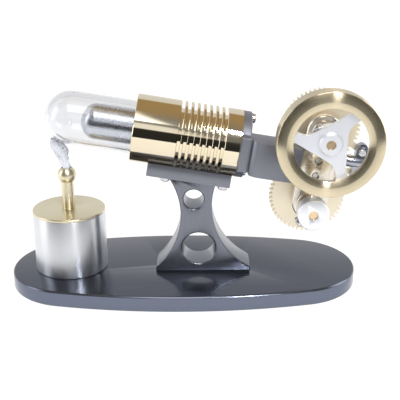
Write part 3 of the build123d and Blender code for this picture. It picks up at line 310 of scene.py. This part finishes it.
card_material, _, card_shader = new_material("pale_card")
card_shader.inputs["Base Color"].default_value = (0.30, 0.30, 0.30, 1)
card_shader.inputs["Roughness"].default_value = 0.9
card_shader.inputs["Emission Color"].default_value = (1, 1, 1, 1)
card_shader.inputs["Emission Strength"].default_value = FLOOR_GLOW
floor = lay_card("floor", FLOOR_FRONT, FLOOR_REACH, card_material)
apron = lay_card("apron", -FLOOR_REACH, FLOOR_FRONT, card_material)
apron.visible_glossy = apron.visible_transmission = False
print("floor laid at", round(floor.location.z, 4))

# %% [markdown]
# ## Finishes
#
# Machined metal is never perfectly even. Each finish below takes a plain shader and adds
# two things that the eye expects: fine tool marks in the gloss, in the direction in
# which the tool ran, and a slow drift between two close tones. Image textures could do
# this, but they need files and unwrapped meshes. Noise on Object coordinates needs
# neither, and it stays with the part when the part moves.

# %% Helpers for tool marks
def object_coordinates(tree, centre=(0, 0, 0), turn=(0, 0, 0), stretch=(1, 1, 1)):
    """Object coordinates, moved so that the pattern is centred on the piece."""
    source = tree.nodes.new("ShaderNodeTexCoord").outputs["Object"]
    shift = tree.nodes.new("ShaderNodeMapping")
    shift.vector_type = "POINT"
    shift.inputs["Location"].default_value = [-value for value in centre]
    tree.links.new(source, shift.inputs["Vector"])
    shape = tree.nodes.new("ShaderNodeMapping")
    shape.vector_type = "POINT"
    shape.inputs["Rotation"].default_value = turn
    tree.links.new(shift.outputs[0], shape.inputs["Vector"])
    size = tree.nodes.new("ShaderNodeMapping")
    size.inputs["Scale"].default_value = stretch
    tree.links.new(shape.outputs[0], size.inputs["Vector"])
    return size.outputs[0]


def noise(tree, vector, scale, detail):
    """Noise texture's value."""
    node = tree.nodes.new("ShaderNodeTexNoise")
    node.inputs["Scale"].default_value = scale
    node.inputs["Detail"].default_value = detail
    tree.links.new(vector, node.inputs["Vector"])
    return node.outputs["Fac"]


def spread(tree, value, low, high):
    """Maps a 0..1 value to a range."""
    node = tree.nodes.new("ShaderNodeMapRange")
    node.inputs["To Min"].default_value = low
    node.inputs["To Max"].default_value = high
    tree.links.new(value, node.inputs["Value"])
    return node.outputs["Result"]


def add_bump(tree, shader, value, strength, distance):
    """Fine relief from a 0..1 value."""
    bump = tree.nodes.new("ShaderNodeBump")
    bump.inputs["Strength"].default_value = strength
    bump.inputs["Distance"].default_value = distance
    tree.links.new(value, bump.inputs["Height"])
    tree.links.new(bump.outputs["Normal"], shader.inputs["Normal"])


def tint(tree, shader, value, dark, light):
    """Base colour that drifts between two close tones."""
    tree.links.new(blend(tree, value, dark, light), shader.inputs["Base Color"])


# %% [markdown]
# Turned metal carries rings around the lathe's axis. A Wave texture makes rings too, but
# evenly spaced ones. A noise that reads only the distance from the axis, and the place
# along it, gives uneven rings without a seam.

# %% The turned finish
AXIS_TURN = {"Y": (math.pi / 2, 0, 0), "Z": (0, 0, 0)}


def turned_marks(tree, centre, axis, scale):
    """Ring-shaped marks around an axis through a centre; axis is Y, Z or a slope in XZ."""
    turn = AXIS_TURN[axis] if isinstance(axis, str) else (0, -math.pi / 2 + axis, 0)
    vector = object_coordinates(tree, centre, turn)
    split = tree.nodes.new("ShaderNodeSeparateXYZ")
    tree.links.new(vector, split.inputs[0])
    squares = maths(tree, "ADD", maths(tree, "MULTIPLY", split.outputs["X"], split.outputs["X"]),
                    maths(tree, "MULTIPLY", split.outputs["Y"], split.outputs["Y"]))
    radius = maths(tree, "SQRT", squares)
    join = tree.nodes.new("ShaderNodeCombineXYZ")
    tree.links.new(radius, join.inputs["X"])
    tree.links.new(split.outputs["Z"], join.inputs["Y"])
    return noise(tree, join.outputs[0], scale, 4.0)


ACROSS_THE_RINGS = 0.25    # turn of the tangent that spreads highlights along the radius


def turned(name, centre, axis, dark, light, roughness, strength=0.12, anisotropic=0.0,
           metallic=1.0):
    """Lathe-turned metal; an anisotropic finish needs Y or Z as its axis."""
    material, tree, shader = new_material(name)
    marks = turned_marks(tree, centre, axis, 2600)
    slow = noise(tree, object_coordinates(tree, centre), 90, 2.0)
    tint(tree, shader, slow, dark, light)
    shader.inputs["Metallic"].default_value = metallic
    tree.links.new(spread(tree, marks, *roughness), shader.inputs["Roughness"])
    add_bump(tree, shader, marks, strength, 0.00004)
    if anisotropic:
        shader.inputs["Anisotropic"].default_value = anisotropic
        shader.inputs["Anisotropic Rotation"].default_value = ACROSS_THE_RINGS
        node = tree.nodes.new("ShaderNodeTangent")
        node.direction_type = "RADIAL"
        node.axis = axis
        tree.links.new(node.outputs[0], shader.inputs["Tangent"])
    return material


# %% [markdown]
# Flat faces are finished on a belt or a wheel, so their marks are long and straight.
# Scratches could be cut into the mesh one by one, but at this size a noise that is
# stretched far along one direction looks the same. Anodised parts are blasted first,
# which leaves a fine even grain, or brushed, which leaves long streaks in the dye.

# %% The brushed and the blasted finish
def brushed(name, dark, light, roughness, stretch=(40, 900, 900), strength=0.08):
    """Metal with straight tool marks."""
    material, tree, shader = new_material(name)
    marks = noise(tree, object_coordinates(tree, stretch=stretch), 2.4, 4.0)
    slow = noise(tree, object_coordinates(tree), 60, 2.0)
    tint(tree, shader, slow, dark, light)
    shader.inputs["Metallic"].default_value = 1.0
    tree.links.new(spread(tree, marks, *roughness), shader.inputs["Roughness"])
    add_bump(tree, shader, marks, strength, 0.00003)
    return material


def anodised(name, dark, light, roughness, metallic, strength, streaks=None):
    """Dyed aluminium: blasted, or brushed where streaks gives the stretch of the marks."""
    material, tree, shader = new_material(name)
    grain = noise(tree, object_coordinates(tree), 5200, 3.0)
    if streaks:
        tone = noise(tree, object_coordinates(tree, stretch=streaks), 2.4, 4.0)
    else:
        tone = noise(tree, object_coordinates(tree), 35, 2.0)
    tint(tree, shader, tone, dark, light)
    shader.inputs["Metallic"].default_value = metallic
    shader.inputs["IOR"].default_value = 1.5
    tree.links.new(spread(tree, tone, *roughness), shader.inputs["Roughness"])
    add_bump(tree, shader, grain, strength, 0.00002)
    return material


def dress(material, *names):
    """Gives carried-over parts their finish."""
    for name in names:
        slots = nodes[name].data.materials
        slots.clear()
        slots.append(material)
    print(material.name, "->", ", ".join(names))


# %% [markdown]
# ## Dark anodised base and blue-grey frame
#
# The base is brushed lengthwise, dyed nearly black and sealed, so it mirrors the column
# softly. The column, brushed upright, and the cradle are dyed a lighter blue-grey and
# look satin. The flange and the arm are the same grey with a dull, blasted skin. One
# grey would be quicker for all, but each part catches the light in its own way, so each
# gets its own gloss. Its tone is painted too: the column's grey is set darker as painted
# shade, and the arm's paler as painted light. The base's edge is painted paler than its
# top. This is a painted reflection of the pale floor, so its colour goes by which way a
# face looks.

# %% Dress the base and the frame
def paint_floor_reflection_on_sides(material, colour):
    """Painted reflection: lightens the faces that do not look straight up or down."""
    tree = material.node_tree
    socket = tree.nodes["Principled BSDF"].inputs["Base Color"]
    top = socket.links[0].from_socket
    split = tree.nodes.new("ShaderNodeSeparateXYZ")
    tree.links.new(tree.nodes.new("ShaderNodeTexCoord").outputs["Normal"], split.inputs[0])
    tree.links.new(blend(tree, maths(tree, "ABSOLUTE", split.outputs["Z"]), colour, top), socket)


base_finish_painted_sides = anodised("base_anodised", (0.078, 0.085, 0.110), (0.128, 0.140, 0.176),
                       (0.12, 0.22), 0.90, 0.04, streaks=(10, 900, 900))
# Painted reflection: the base's sides get this paler colour for the floor they mirror.
paint_floor_reflection_on_sides(base_finish_painted_sides, (0.155, 0.175, 0.232))
frame_finish = anodised("blue_grey_anodised", (0.215, 0.225, 0.262), (0.24, 0.25, 0.29),
                        (0.30, 0.38), 0.92, 0.06)
# Painted shade: the column's grey is darker than the cradle's, though the dye is the same.
column_finish_painted_shade = anodised("column_anodised_painted_shade", (0.165, 0.175, 0.208), (0.225, 0.236, 0.276),
                         (0.18, 0.27), 0.92, 0.06, streaks=(900, 900, 12))
# Painted light: the arm's grey is paler than the cradle's, though the dye is the same.
arm_finish_painted_light = anodised("arm_anodised_painted_light", (0.235, 0.245, 0.285), (0.255, 0.265, 0.308),
                      (0.46, 0.54), 0.85, 0.06)
dress(base_finish_painted_sides, "base_plate")
dress(column_finish_painted_shade, "column")
dress(frame_finish, "cradle_pad")
dress(arm_finish_painted_light, "frame_bracket")

# %% [markdown]
# ## Brass
#
# The cylinder is buffed to a mirror, the flywheel's rim keeps its lathe rings, and the
# gears and rods are pale and satin. The lamp's lid and wick tube are satin too, and the
# shafts, bushes and spacers are a redder bronze. One brass could dress them all, but
# pieces that overlap would then run together to the eye.

# %% Dress the brass
cylinder_middle = middle_of("cylinder_body")
rim_middle = middle_of("flywheel_rim")
lamp_middle = middle_of("lamp_reservoir")
cylinder_brass = turned("polished_brass", cylinder_middle, cylinder_slope,
                        (0.79, 0.70, 0.53), (0.82, 0.73, 0.56), (0.04, 0.07), strength=0.02)
rim_brass = turned("turned_brass", rim_middle, "Y", (0.70, 0.61, 0.43), (0.76, 0.67, 0.48),
                   (0.22, 0.25), strength=0.02, anisotropic=1.0)
gear_brass = turned("gear_brass", upper_axle, "Y", (0.86, 0.77, 0.60), (0.90, 0.82, 0.66),
                    (0.36, 0.46), strength=0.08, metallic=0.75)
lid_brass = turned("lid_brass", lamp_middle, "Z", (0.76, 0.69, 0.50), (0.81, 0.74, 0.55),
                   (0.30, 0.36), strength=0.03, anisotropic=0.5)
shaft_brass = turned("shaft_brass", upper_axle, "Y", (0.80, 0.60, 0.38), (0.85, 0.66, 0.43),
                     (0.20, 0.30))
dress(cylinder_brass, "cylinder_body")
dress(rim_brass, "flywheel_rim")
dress(gear_brass, "upper_gear", "lower_gear", "upper_displacer_rod", "lower_displacer_rod",
      "upper_power_rod", "lower_power_rod")
dress(lid_brass, "lamp_lid", "wick_tube")
dress(shaft_brass, "upper_shaft", "lower_shaft", "upper_bush", "lower_bush", "upper_spacer",
      "lower_spacer")

# %% [markdown]
# ## White metals
#
# The spider and the collar are satin aluminium, the lamp's cup is aluminium turned on a
# lathe, and the bearing plate is chrome polished along its length. Its warm beige tint is
# a painted reflection of the brass around it. The moving steel is ground, the displacer
# is a softer steel can, and the yokes are dark. One white metal could dress them all, but
# each is rough and dark in its own degree, and that tells them apart.

# %% Dress the white metals
spider_finish = turned("satin_aluminium", upper_axle, "Y", (0.86, 0.88, 0.94),
                       (0.90, 0.92, 0.98), (0.36, 0.44), strength=0.04, metallic=0.8)
collar_finish = turned("collar_aluminium", lower_axle, "Y", (0.84, 0.86, 0.90),
                       (0.88, 0.90, 0.94), (0.28, 0.36), strength=0.04, metallic=0.85)
cup_finish = turned("lamp_aluminium", lamp_middle, "Z", (0.72, 0.74, 0.77),
                    (0.78, 0.80, 0.83), (0.30, 0.36), strength=0.03, anisotropic=0.8)
# Painted reflection: the chrome's warm beige stands in for the brass that it mirrors.
chrome_finish_painted_brass = brushed("mirror_chrome", (0.77, 0.72, 0.63), (0.82, 0.77, 0.68), (0.16, 0.34),
                        stretch=(30, 900, 2400), strength=0.03)
screw_finish = brushed("screw_steel", (0.66, 0.66, 0.68), (0.74, 0.74, 0.76), (0.18, 0.30))
ground_finish = turned("ground_steel", cranks_middle, cylinder_slope, (0.52, 0.54, 0.58),
                       (0.60, 0.62, 0.66), (0.16, 0.24), strength=0.05)
shell_finish = turned("displacer_steel", middle_of("displacer_shell"), cylinder_slope,
                      (0.66, 0.68, 0.73), (0.73, 0.75, 0.80), (0.24, 0.31), strength=0.03)
yoke_finish = brushed("yoke_steel", (0.34, 0.36, 0.42), (0.42, 0.44, 0.50), (0.22, 0.32))
dress(spider_finish, "flywheel_spider")
dress(yoke_finish, "power_yoke", "displacer_yoke")
dress(collar_finish, "shaft_collar")
dress(cup_finish, "lamp_reservoir")
dress(chrome_finish_painted_brass, "bearing_plate")
dress(screw_finish, "column_screws", "pad_screws", "column_top_screws", "flange_screws",
      "plate_screws", "flywheel_set_screw", "collar_screw", "power_yoke_screws",
      "power_yoke_nut", "displacer_yoke_screws", "displacer_yoke_nut")
dress(shell_finish, "displacer_shell", "displacer_plug")
dress(ground_finish, "power_piston", "piston_tube", "displacer_rod", "upper_crank_pin",
      "lower_crank_pin", "upper_pin_clip", "lower_pin_clip", "upper_displacer_rod_pin",
      "lower_displacer_rod_pin", "upper_power_rod_pin", "lower_power_rod_pin")

# %% [markdown]
# ## Glass and rubber
#
# The hot end is clear borosilicate glass. A see-through and a glossy shader could be
# mixed for it, but only true transmission bends the displacer's outline as a thick tube
# does. Drawn glass is slightly uneven, which a very weak, slow bump shows. The seals are
# red silicone.

# %% Dress the glass and the seals
def clear_glass():
    """Clear glass with a faint drawn waviness."""
    material, tree, shader = new_material("borosilicate_glass")
    shader.inputs["Base Color"].default_value = (0.905, 0.915, 0.935, 1)
    shader.inputs["Roughness"].default_value = 0.0
    shader.inputs["IOR"].default_value = 1.47
    shader.inputs["Transmission Weight"].default_value = 1.0
    wave = noise(tree, object_coordinates(tree), 70, 1.0)
    add_bump(tree, shader, wave, 0.03, 0.0003)
    return material


def soft_rubber():
    """Red silicone."""
    material, tree, shader = new_material("silicone")
    grain = noise(tree, object_coordinates(tree), 1500, 3.0)
    tint(tree, shader, grain, (0.30, 0.05, 0.03), (0.38, 0.08, 0.05))
    shader.inputs["Roughness"].default_value = 0.6
    add_bump(tree, shader, grain, 0.2, 0.00005)
    return material


dress(clear_glass(), "glass_tube")
dress(soft_rubber(), "glass_seals")

# %% [markdown]
# ## Eased edges
#
# No machined edge is truly sharp: it is broken with a file, and that thin flat is what
# catches the light along an outline. The frame's parts are sharp there, and their meshes
# are loose triangles, which a bevel can't follow. So each part is copied and its points
# are welded first, and the finished copy takes the part's place.

# %% Helpers to copy a part and to take its place
WELD = 0.000001         # points closer than this are one
body_of_node = {name: nodes[name]["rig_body"] for name in nodes}


def deselect():
    """Nothing selected, object mode."""
    if bpy.context.object and bpy.context.object.mode != "OBJECT":
        bpy.ops.object.mode_set(mode="OBJECT")
    bpy.ops.object.select_all(action="DESELECT")


def copy_of(node, name):
    """Separate, welded mesh copy of a part, selected and active."""
    deselect()
    piece = bpy.data.objects.new(name, nodes[node].data.copy())
    bpy.context.scene.collection.objects.link(piece)
    piece.select_set(True)
    bpy.context.view_layer.objects.active = piece
    bpy.ops.mesh.customdata_custom_splitnormals_clear()
    bpy.ops.object.mode_set(mode="EDIT")
    bpy.ops.mesh.select_all(action="SELECT")
    bpy.ops.mesh.remove_doubles(threshold=WELD)
    bpy.ops.object.mode_set(mode="OBJECT")
    return piece


def hand_over(piece, node):
    """The piece takes the part's place and body, and the part is hidden."""
    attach(piece, body_of_node[node])
    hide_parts(node)
    return piece


# %% [markdown]
# The edges could be eased by hand, one loop at a time. A bevel modifier finds them by
# their angle and eases them all alike. The flat faces are made whole before it, so that
# it meets no stray lines inside them.

# %% Ease the edges
FLAT_WITHIN = 0.4       # in degrees: faces that differ less are made one
SHARP_ABOVE = 28        # in degrees: edges that turn more are eased
BEVEL_SEGMENTS = 2


def eased(node, width):
    """Copy of a part with its sharp edges rounded a little."""
    piece = copy_of(node, node + "_eased")
    bpy.ops.object.mode_set(mode="EDIT")
    bpy.ops.mesh.select_all(action="SELECT")
    bpy.ops.mesh.dissolve_limited(angle_limit=math.radians(FLAT_WITHIN))
    bpy.ops.object.mode_set(mode="OBJECT")
    bevel = piece.modifiers.new("eased_edges", "BEVEL")
    bevel.width = width
    bevel.segments = BEVEL_SEGMENTS
    bevel.limit_method = "ANGLE"
    bevel.angle_limit = math.radians(SHARP_ABOVE)
    bevel.use_clamp_overlap = True
    bpy.ops.object.modifier_apply(modifier=bevel.name)
    bpy.ops.object.shade_smooth_by_angle(angle=math.radians(30))
    hand_over(piece, node)
    print(piece.name, len(piece.data.polygons), "faces")
    return piece


EASED = {"base_plate": 0.00025, "column": 0.0002, "cradle_pad": 0.0003, "frame_bracket": 0.0002,
         "bearing_plate": 0.00015, "shaft_collar": 0.0002, "displacer_yoke": 0.0003,
         "power_yoke": 0.0003, "lamp_reservoir": 0.00015, "lamp_lid": 0.0002}
for node, width in EASED.items():
    eased(node, width)

# %% [markdown]
# ## The flywheel's rim
#
# The rim's face is turned in two passes: a wide, softly crowned band outside, and a
# steeper band that runs in towards the opening. They meet in a crisp ring. The part's
# own face could be bent to that shape, but a drawn profile that is spun round the axle
# gives even rings of faces, as a lathe does. The profile is in millimetres, radius and
# depth from the foremost ring.

# %% Spin the rim
SPIN_STEPS = 192


def spun(name, profile, centre):
    """Ring turned about a Y axis from a closed profile of (radius, depth) pairs in metres."""
    deselect()
    bpy.ops.mesh.primitive_circle_add(vertices=len(profile), radius=1.0)
    piece = bpy.context.object
    piece.name = name
    for vertex, (radius, depth) in zip(piece.data.vertices, profile):
        vertex.co = (radius, depth, 0)
    screw = piece.modifiers.new("spin", "SCREW")
    screw.axis = "Y"
    screw.steps = screw.render_steps = SPIN_STEPS
    screw.use_merge_vertices = True
    screw.merge_threshold = WELD
    bpy.ops.object.modifier_apply(modifier=screw.name)
    piece.location = centre
    bpy.ops.object.transform_apply(location=True)
    bpy.ops.object.mode_set(mode="EDIT")
    bpy.ops.mesh.select_all(action="SELECT")
    bpy.ops.mesh.normals_make_consistent(inside=False)
    bpy.ops.object.mode_set(mode="OBJECT")
    bpy.ops.object.shade_smooth_by_angle(angle=math.radians(24))
    return piece


RIM_MOUTH = [(19.4, 2.2), (18.98, 1.25), (19.02, 0.92), (19.25, 0.78), (20.7, 0.37)]
RIM_FACE = [(22.15, 0.02), (22.45, 0.0), (23.2, 0.04), (23.9, 0.09), (24.5, 0.14),
            (25.1, 0.22), (25.8, 0.33), (26.5, 0.47), (27.0, 0.60)]
RIM_OUTER_DEPTH = 0.92   # where the face meets the rim's outside
RIM_BACK_CHAMFER = 0.5
SEAT_RADIUS = 21.52      # bore that the spider sits in
SEAT_DEPTH = 3.65
RIM_OPENING = 19.4
rim_low, rim_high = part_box("flywheel_rim")
rim_width = (rim_high.y - rim_low.y) * 1000
rim_outer = (rim_high.z - rim_low.z) * 500
profile = [(RIM_OPENING, SEAT_DEPTH), *RIM_MOUTH, *RIM_FACE, (rim_outer, RIM_OUTER_DEPTH),
           (rim_outer, rim_width - RIM_BACK_CHAMFER), (rim_outer - RIM_BACK_CHAMFER, rim_width),
           (SEAT_RADIUS, rim_width), (SEAT_RADIUS, SEAT_DEPTH)]
rim = spun("rim_turned", [(radius / 1000, depth / 1000) for radius, depth in profile],
           (rim_middle.x, rim_low.y, rim_middle.z))
rim.data.materials.append(rim_brass)
hand_over(rim, "flywheel_rim")
print(rim.name, len(rim.data.polygons), "faces, radius", round(rim_outer, 2))

# %% [markdown]
# ## The wick
#
# The wick is a loose hank of cotton: a cord in the tube, which opens into a tuft where
# the flame burns. It could be combed from hair, but a closed mesh keeps its shape in
# every program. The tuft starts as the part's own stand-in, cut off just below the mouth
# and remeshed to an even skin.

# %% Cut the tuft free and give it an even skin
TUFT_ROOT = 0.0008      # part of the tuft that sits below the mouth
TUFT_VOXEL = 0.00032
SOFTEN_FACTOR = 0.6
SOFTEN_ROUNDS = 8
tube_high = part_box("wick_tube")[1]
lamp_x = middle_of("wick_tube").x
mouth_z = tube_high.z
tuft = copy_of("wick", "wick_tuft")
bpy.ops.object.mode_set(mode="EDIT")
bpy.ops.mesh.select_all(action="SELECT")
bpy.ops.mesh.bisect(plane_co=(lamp_x, 0, mouth_z - TUFT_ROOT), plane_no=(0, 0, 1),
                    use_fill=True, clear_inner=True)
bpy.ops.object.mode_set(mode="OBJECT")
skin = tuft.modifiers.new("skin", "REMESH")
skin.mode = "VOXEL"
skin.voxel_size = TUFT_VOXEL
bpy.ops.object.modifier_apply(modifier=skin.name)
soften = tuft.modifiers.new("soften", "SMOOTH")
soften.factor = SOFTEN_FACTOR
soften.iterations = SOFTEN_ROUNDS
bpy.ops.object.modifier_apply(modifier=soften.name)
print("tuft skin", len(tuft.data.vertices), "points")

# %% [markdown]
# Cotton is twisted and fuzzy. That could be sculpted by hand, but waves and noise give
# the same tuft each time. They fade in over the first two millimetres above the mouth. A
# point that would come too near the hot glass stays where it was.

# %% Twist and fuzz the tuft
TUFT_GLASS_GAP = 0.00045
TUFT_TWIST_DRIFT = 0.00024   # lean of the twist's axis, for each millimetre of rise
glass_tree = BVHTree.FromObject(nodes["glass_tube"], bpy.context.evaluated_depsgraph_get())


def clear_of_glass(point, gap):
    """True if a point keeps its distance from the glass."""
    return glass_tree.find_nearest(point)[3] > gap


for vertex in tuft.data.vertices:
    rise = (vertex.co.z - mouth_z) * 1000
    angle = math.atan2(vertex.co.y, vertex.co.x - lamp_x + TUFT_TWIST_DRIFT * max(rise, 0))
    ridge = math.cos(3 * angle + 0.55 * rise) * 0.34 + math.cos(7 * angle - 0.8 * rise) * 0.12
    fuzz = spatial.fractal(vertex.co * 900, 0.9, 2.1, 4) * 0.22
    share = min(max(rise / 2.0, 0), 1)
    moved = vertex.co + vertex.normal * (ridge + fuzz - 0.15) * 0.001 * share
    if clear_of_glass(moved, TUFT_GLASS_GAP):
        vertex.co = moved
bpy.ops.object.shade_smooth()
print("tuft box", [round(v * 1000, 1) for v in tuft.dimensions])

# %% [markdown]
# Cotton is dull and white, and its fine hairs catch light along its outline, which a
# little sheen shows. Light could also be let into its skin, but at this size a pale,
# rough surface is enough.

# %% The cotton's finish
def cotton():
    """Soft white cotton."""
    material, tree, shader = new_material("cotton")
    grain = noise(tree, object_coordinates(tree, stretch=(3, 3, 1)), 900, 4.0)
    tint(tree, shader, grain, (0.50, 0.52, 0.57), (0.68, 0.70, 0.75))
    shader.inputs["Roughness"].default_value = 0.95
    shader.inputs["Sheen Weight"].default_value = 0.2
    add_bump(tree, shader, grain, 0.5, 0.0003)
    return material


# %% [markdown]
# Cotton also sheds a few fibres. A particle system could grow them. Here each is a short
# bent curve with a thickness, which starts inside the skin and leans out of it, and all
# are made one mesh with the tuft. The draws are seeded, so the same fibres grow each
# time, and those that would come too near the glass are left out.

# %% Add stray fibres
FIBRE_COUNT = 260
FIBRE_RADIUS = 0.00004
FIBRE_LENGTH = 0.0011
FIBRE_ROOT = 0.0002     # how deep in the skin a fibre starts
FIBRE_STAND = 0.00035   # how far its middle stands off the skin
FIBRE_TIP = 0.3         # its end's thickness, as a share of its start's
FIBRE_GLASS_GAP = 0.0003
random.seed(11)
fibres = bpy.data.curves.new("fibres", "CURVE")
fibres.dimensions = "3D"
fibres.bevel_depth = FIBRE_RADIUS
fibres.bevel_resolution = 0
fibres.use_fill_caps = True
for vertex in random.sample(list(tuft.data.vertices), FIBRE_COUNT):
    if vertex.co.z < mouth_z + 0.001:
        continue
    lean = Vector((random.uniform(-1, 0.6), random.uniform(-1, 1),
                   random.uniform(-0.6, 1.0))) * FIBRE_LENGTH
    start = vertex.co - vertex.normal * FIBRE_ROOT
    middle = vertex.co + vertex.normal * FIBRE_STAND + lean * 0.6
    end = middle + lean
    if not (clear_of_glass(middle, FIBRE_GLASS_GAP) and clear_of_glass(end, FIBRE_GLASS_GAP)):
        continue
    strand = fibres.splines.new("BEZIER")
    strand.bezier_points.add(2)
    for point, place in zip(strand.bezier_points, (start, middle, end)):
        point.co = place
        point.handle_left_type = point.handle_right_type = "AUTO"
        point.radius = 1.0
    strand.bezier_points[2].radius = FIBRE_TIP
    strand.resolution_u = 3
strands = bpy.data.objects.new("fibres", fibres)
bpy.context.scene.collection.objects.link(strands)
deselect()
strands.select_set(True)
bpy.context.view_layer.objects.active = strands
bpy.ops.object.convert(target="MESH")
deselect()
strands.select_set(True)
tuft.select_set(True)
bpy.context.view_layer.objects.active = tuft
bpy.ops.object.join()
tuft.data.materials.clear()
cotton_finish = cotton()
tuft.data.materials.append(cotton_finish)
print("fibres joined:", len(tuft.data.polygons), "faces")

# %% [markdown]
# Below the mouth the cotton is a cord of three twisted strands, which hangs down through
# the tube into the cup. The strands could be wound one round another. One cylinder that
# swells in a threefold twist looks the same inside a tube and has fewer faces. Cord and
# tuft ride on the lid.

# %% Lay the cord in the tube
CORD_RADIUS = 0.00195
CORD_SWELL = 0.10       # how far each strand stands out, as a share of the radius
CORD_TWIST = 700        # in radians for each metre
CORD_LEVELS = 60
CORD_SIDES = 36
CORD_TOP_RING = 0.001   # one more ring of points, this far below the mouth


def wick_cord():
    """Three-strand cotton cord, from the fuel to the mouth."""
    low_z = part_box("wick")[0].z
    deselect()
    bpy.ops.mesh.primitive_cylinder_add(vertices=CORD_SIDES, radius=CORD_RADIUS,
                                        depth=mouth_z - low_z,
                                        location=(lamp_x, 0, (mouth_z + low_z) / 2))
    cord = bpy.context.object
    cord.name = "wick_cord"
    bpy.ops.object.transform_apply(location=True)
    bpy.ops.object.mode_set(mode="EDIT")
    bpy.ops.mesh.select_all(action="SELECT")
    bpy.ops.mesh.bisect(plane_co=(lamp_x, 0, mouth_z - CORD_TOP_RING),
                        plane_no=(0, 0, 1))
    bpy.ops.object.mode_set(mode="OBJECT")
    bm = bmesh.new()
    bm.from_mesh(cord.data)
    for level in range(1, CORD_LEVELS):
        z = low_z + (mouth_z - low_z) * level / CORD_LEVELS
        bmesh.ops.bisect_plane(bm, geom=bm.verts[:] + bm.edges[:] + bm.faces[:],
                               plane_co=(lamp_x, 0, z), plane_no=(0, 0, 1))
    for vert in bm.verts:
        angle = math.atan2(vert.co.y, vert.co.x - lamp_x)
        swell = 1.0 + CORD_SWELL * math.cos(3 * angle + vert.co.z * CORD_TWIST)
        vert.co.x = lamp_x + (vert.co.x - lamp_x) * swell
        vert.co.y *= swell
    bm.to_mesh(cord.data)
    bm.free()
    cord.data.materials.append(cotton_finish)
    bpy.ops.object.shade_smooth_by_angle(angle=math.radians(40))
    return cord


cord = wick_cord()
for piece in (cord, tuft):
    hand_over(piece, "wick")
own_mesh(tuft)
print("wick in place, mouth at", round(mouth_z, 4))
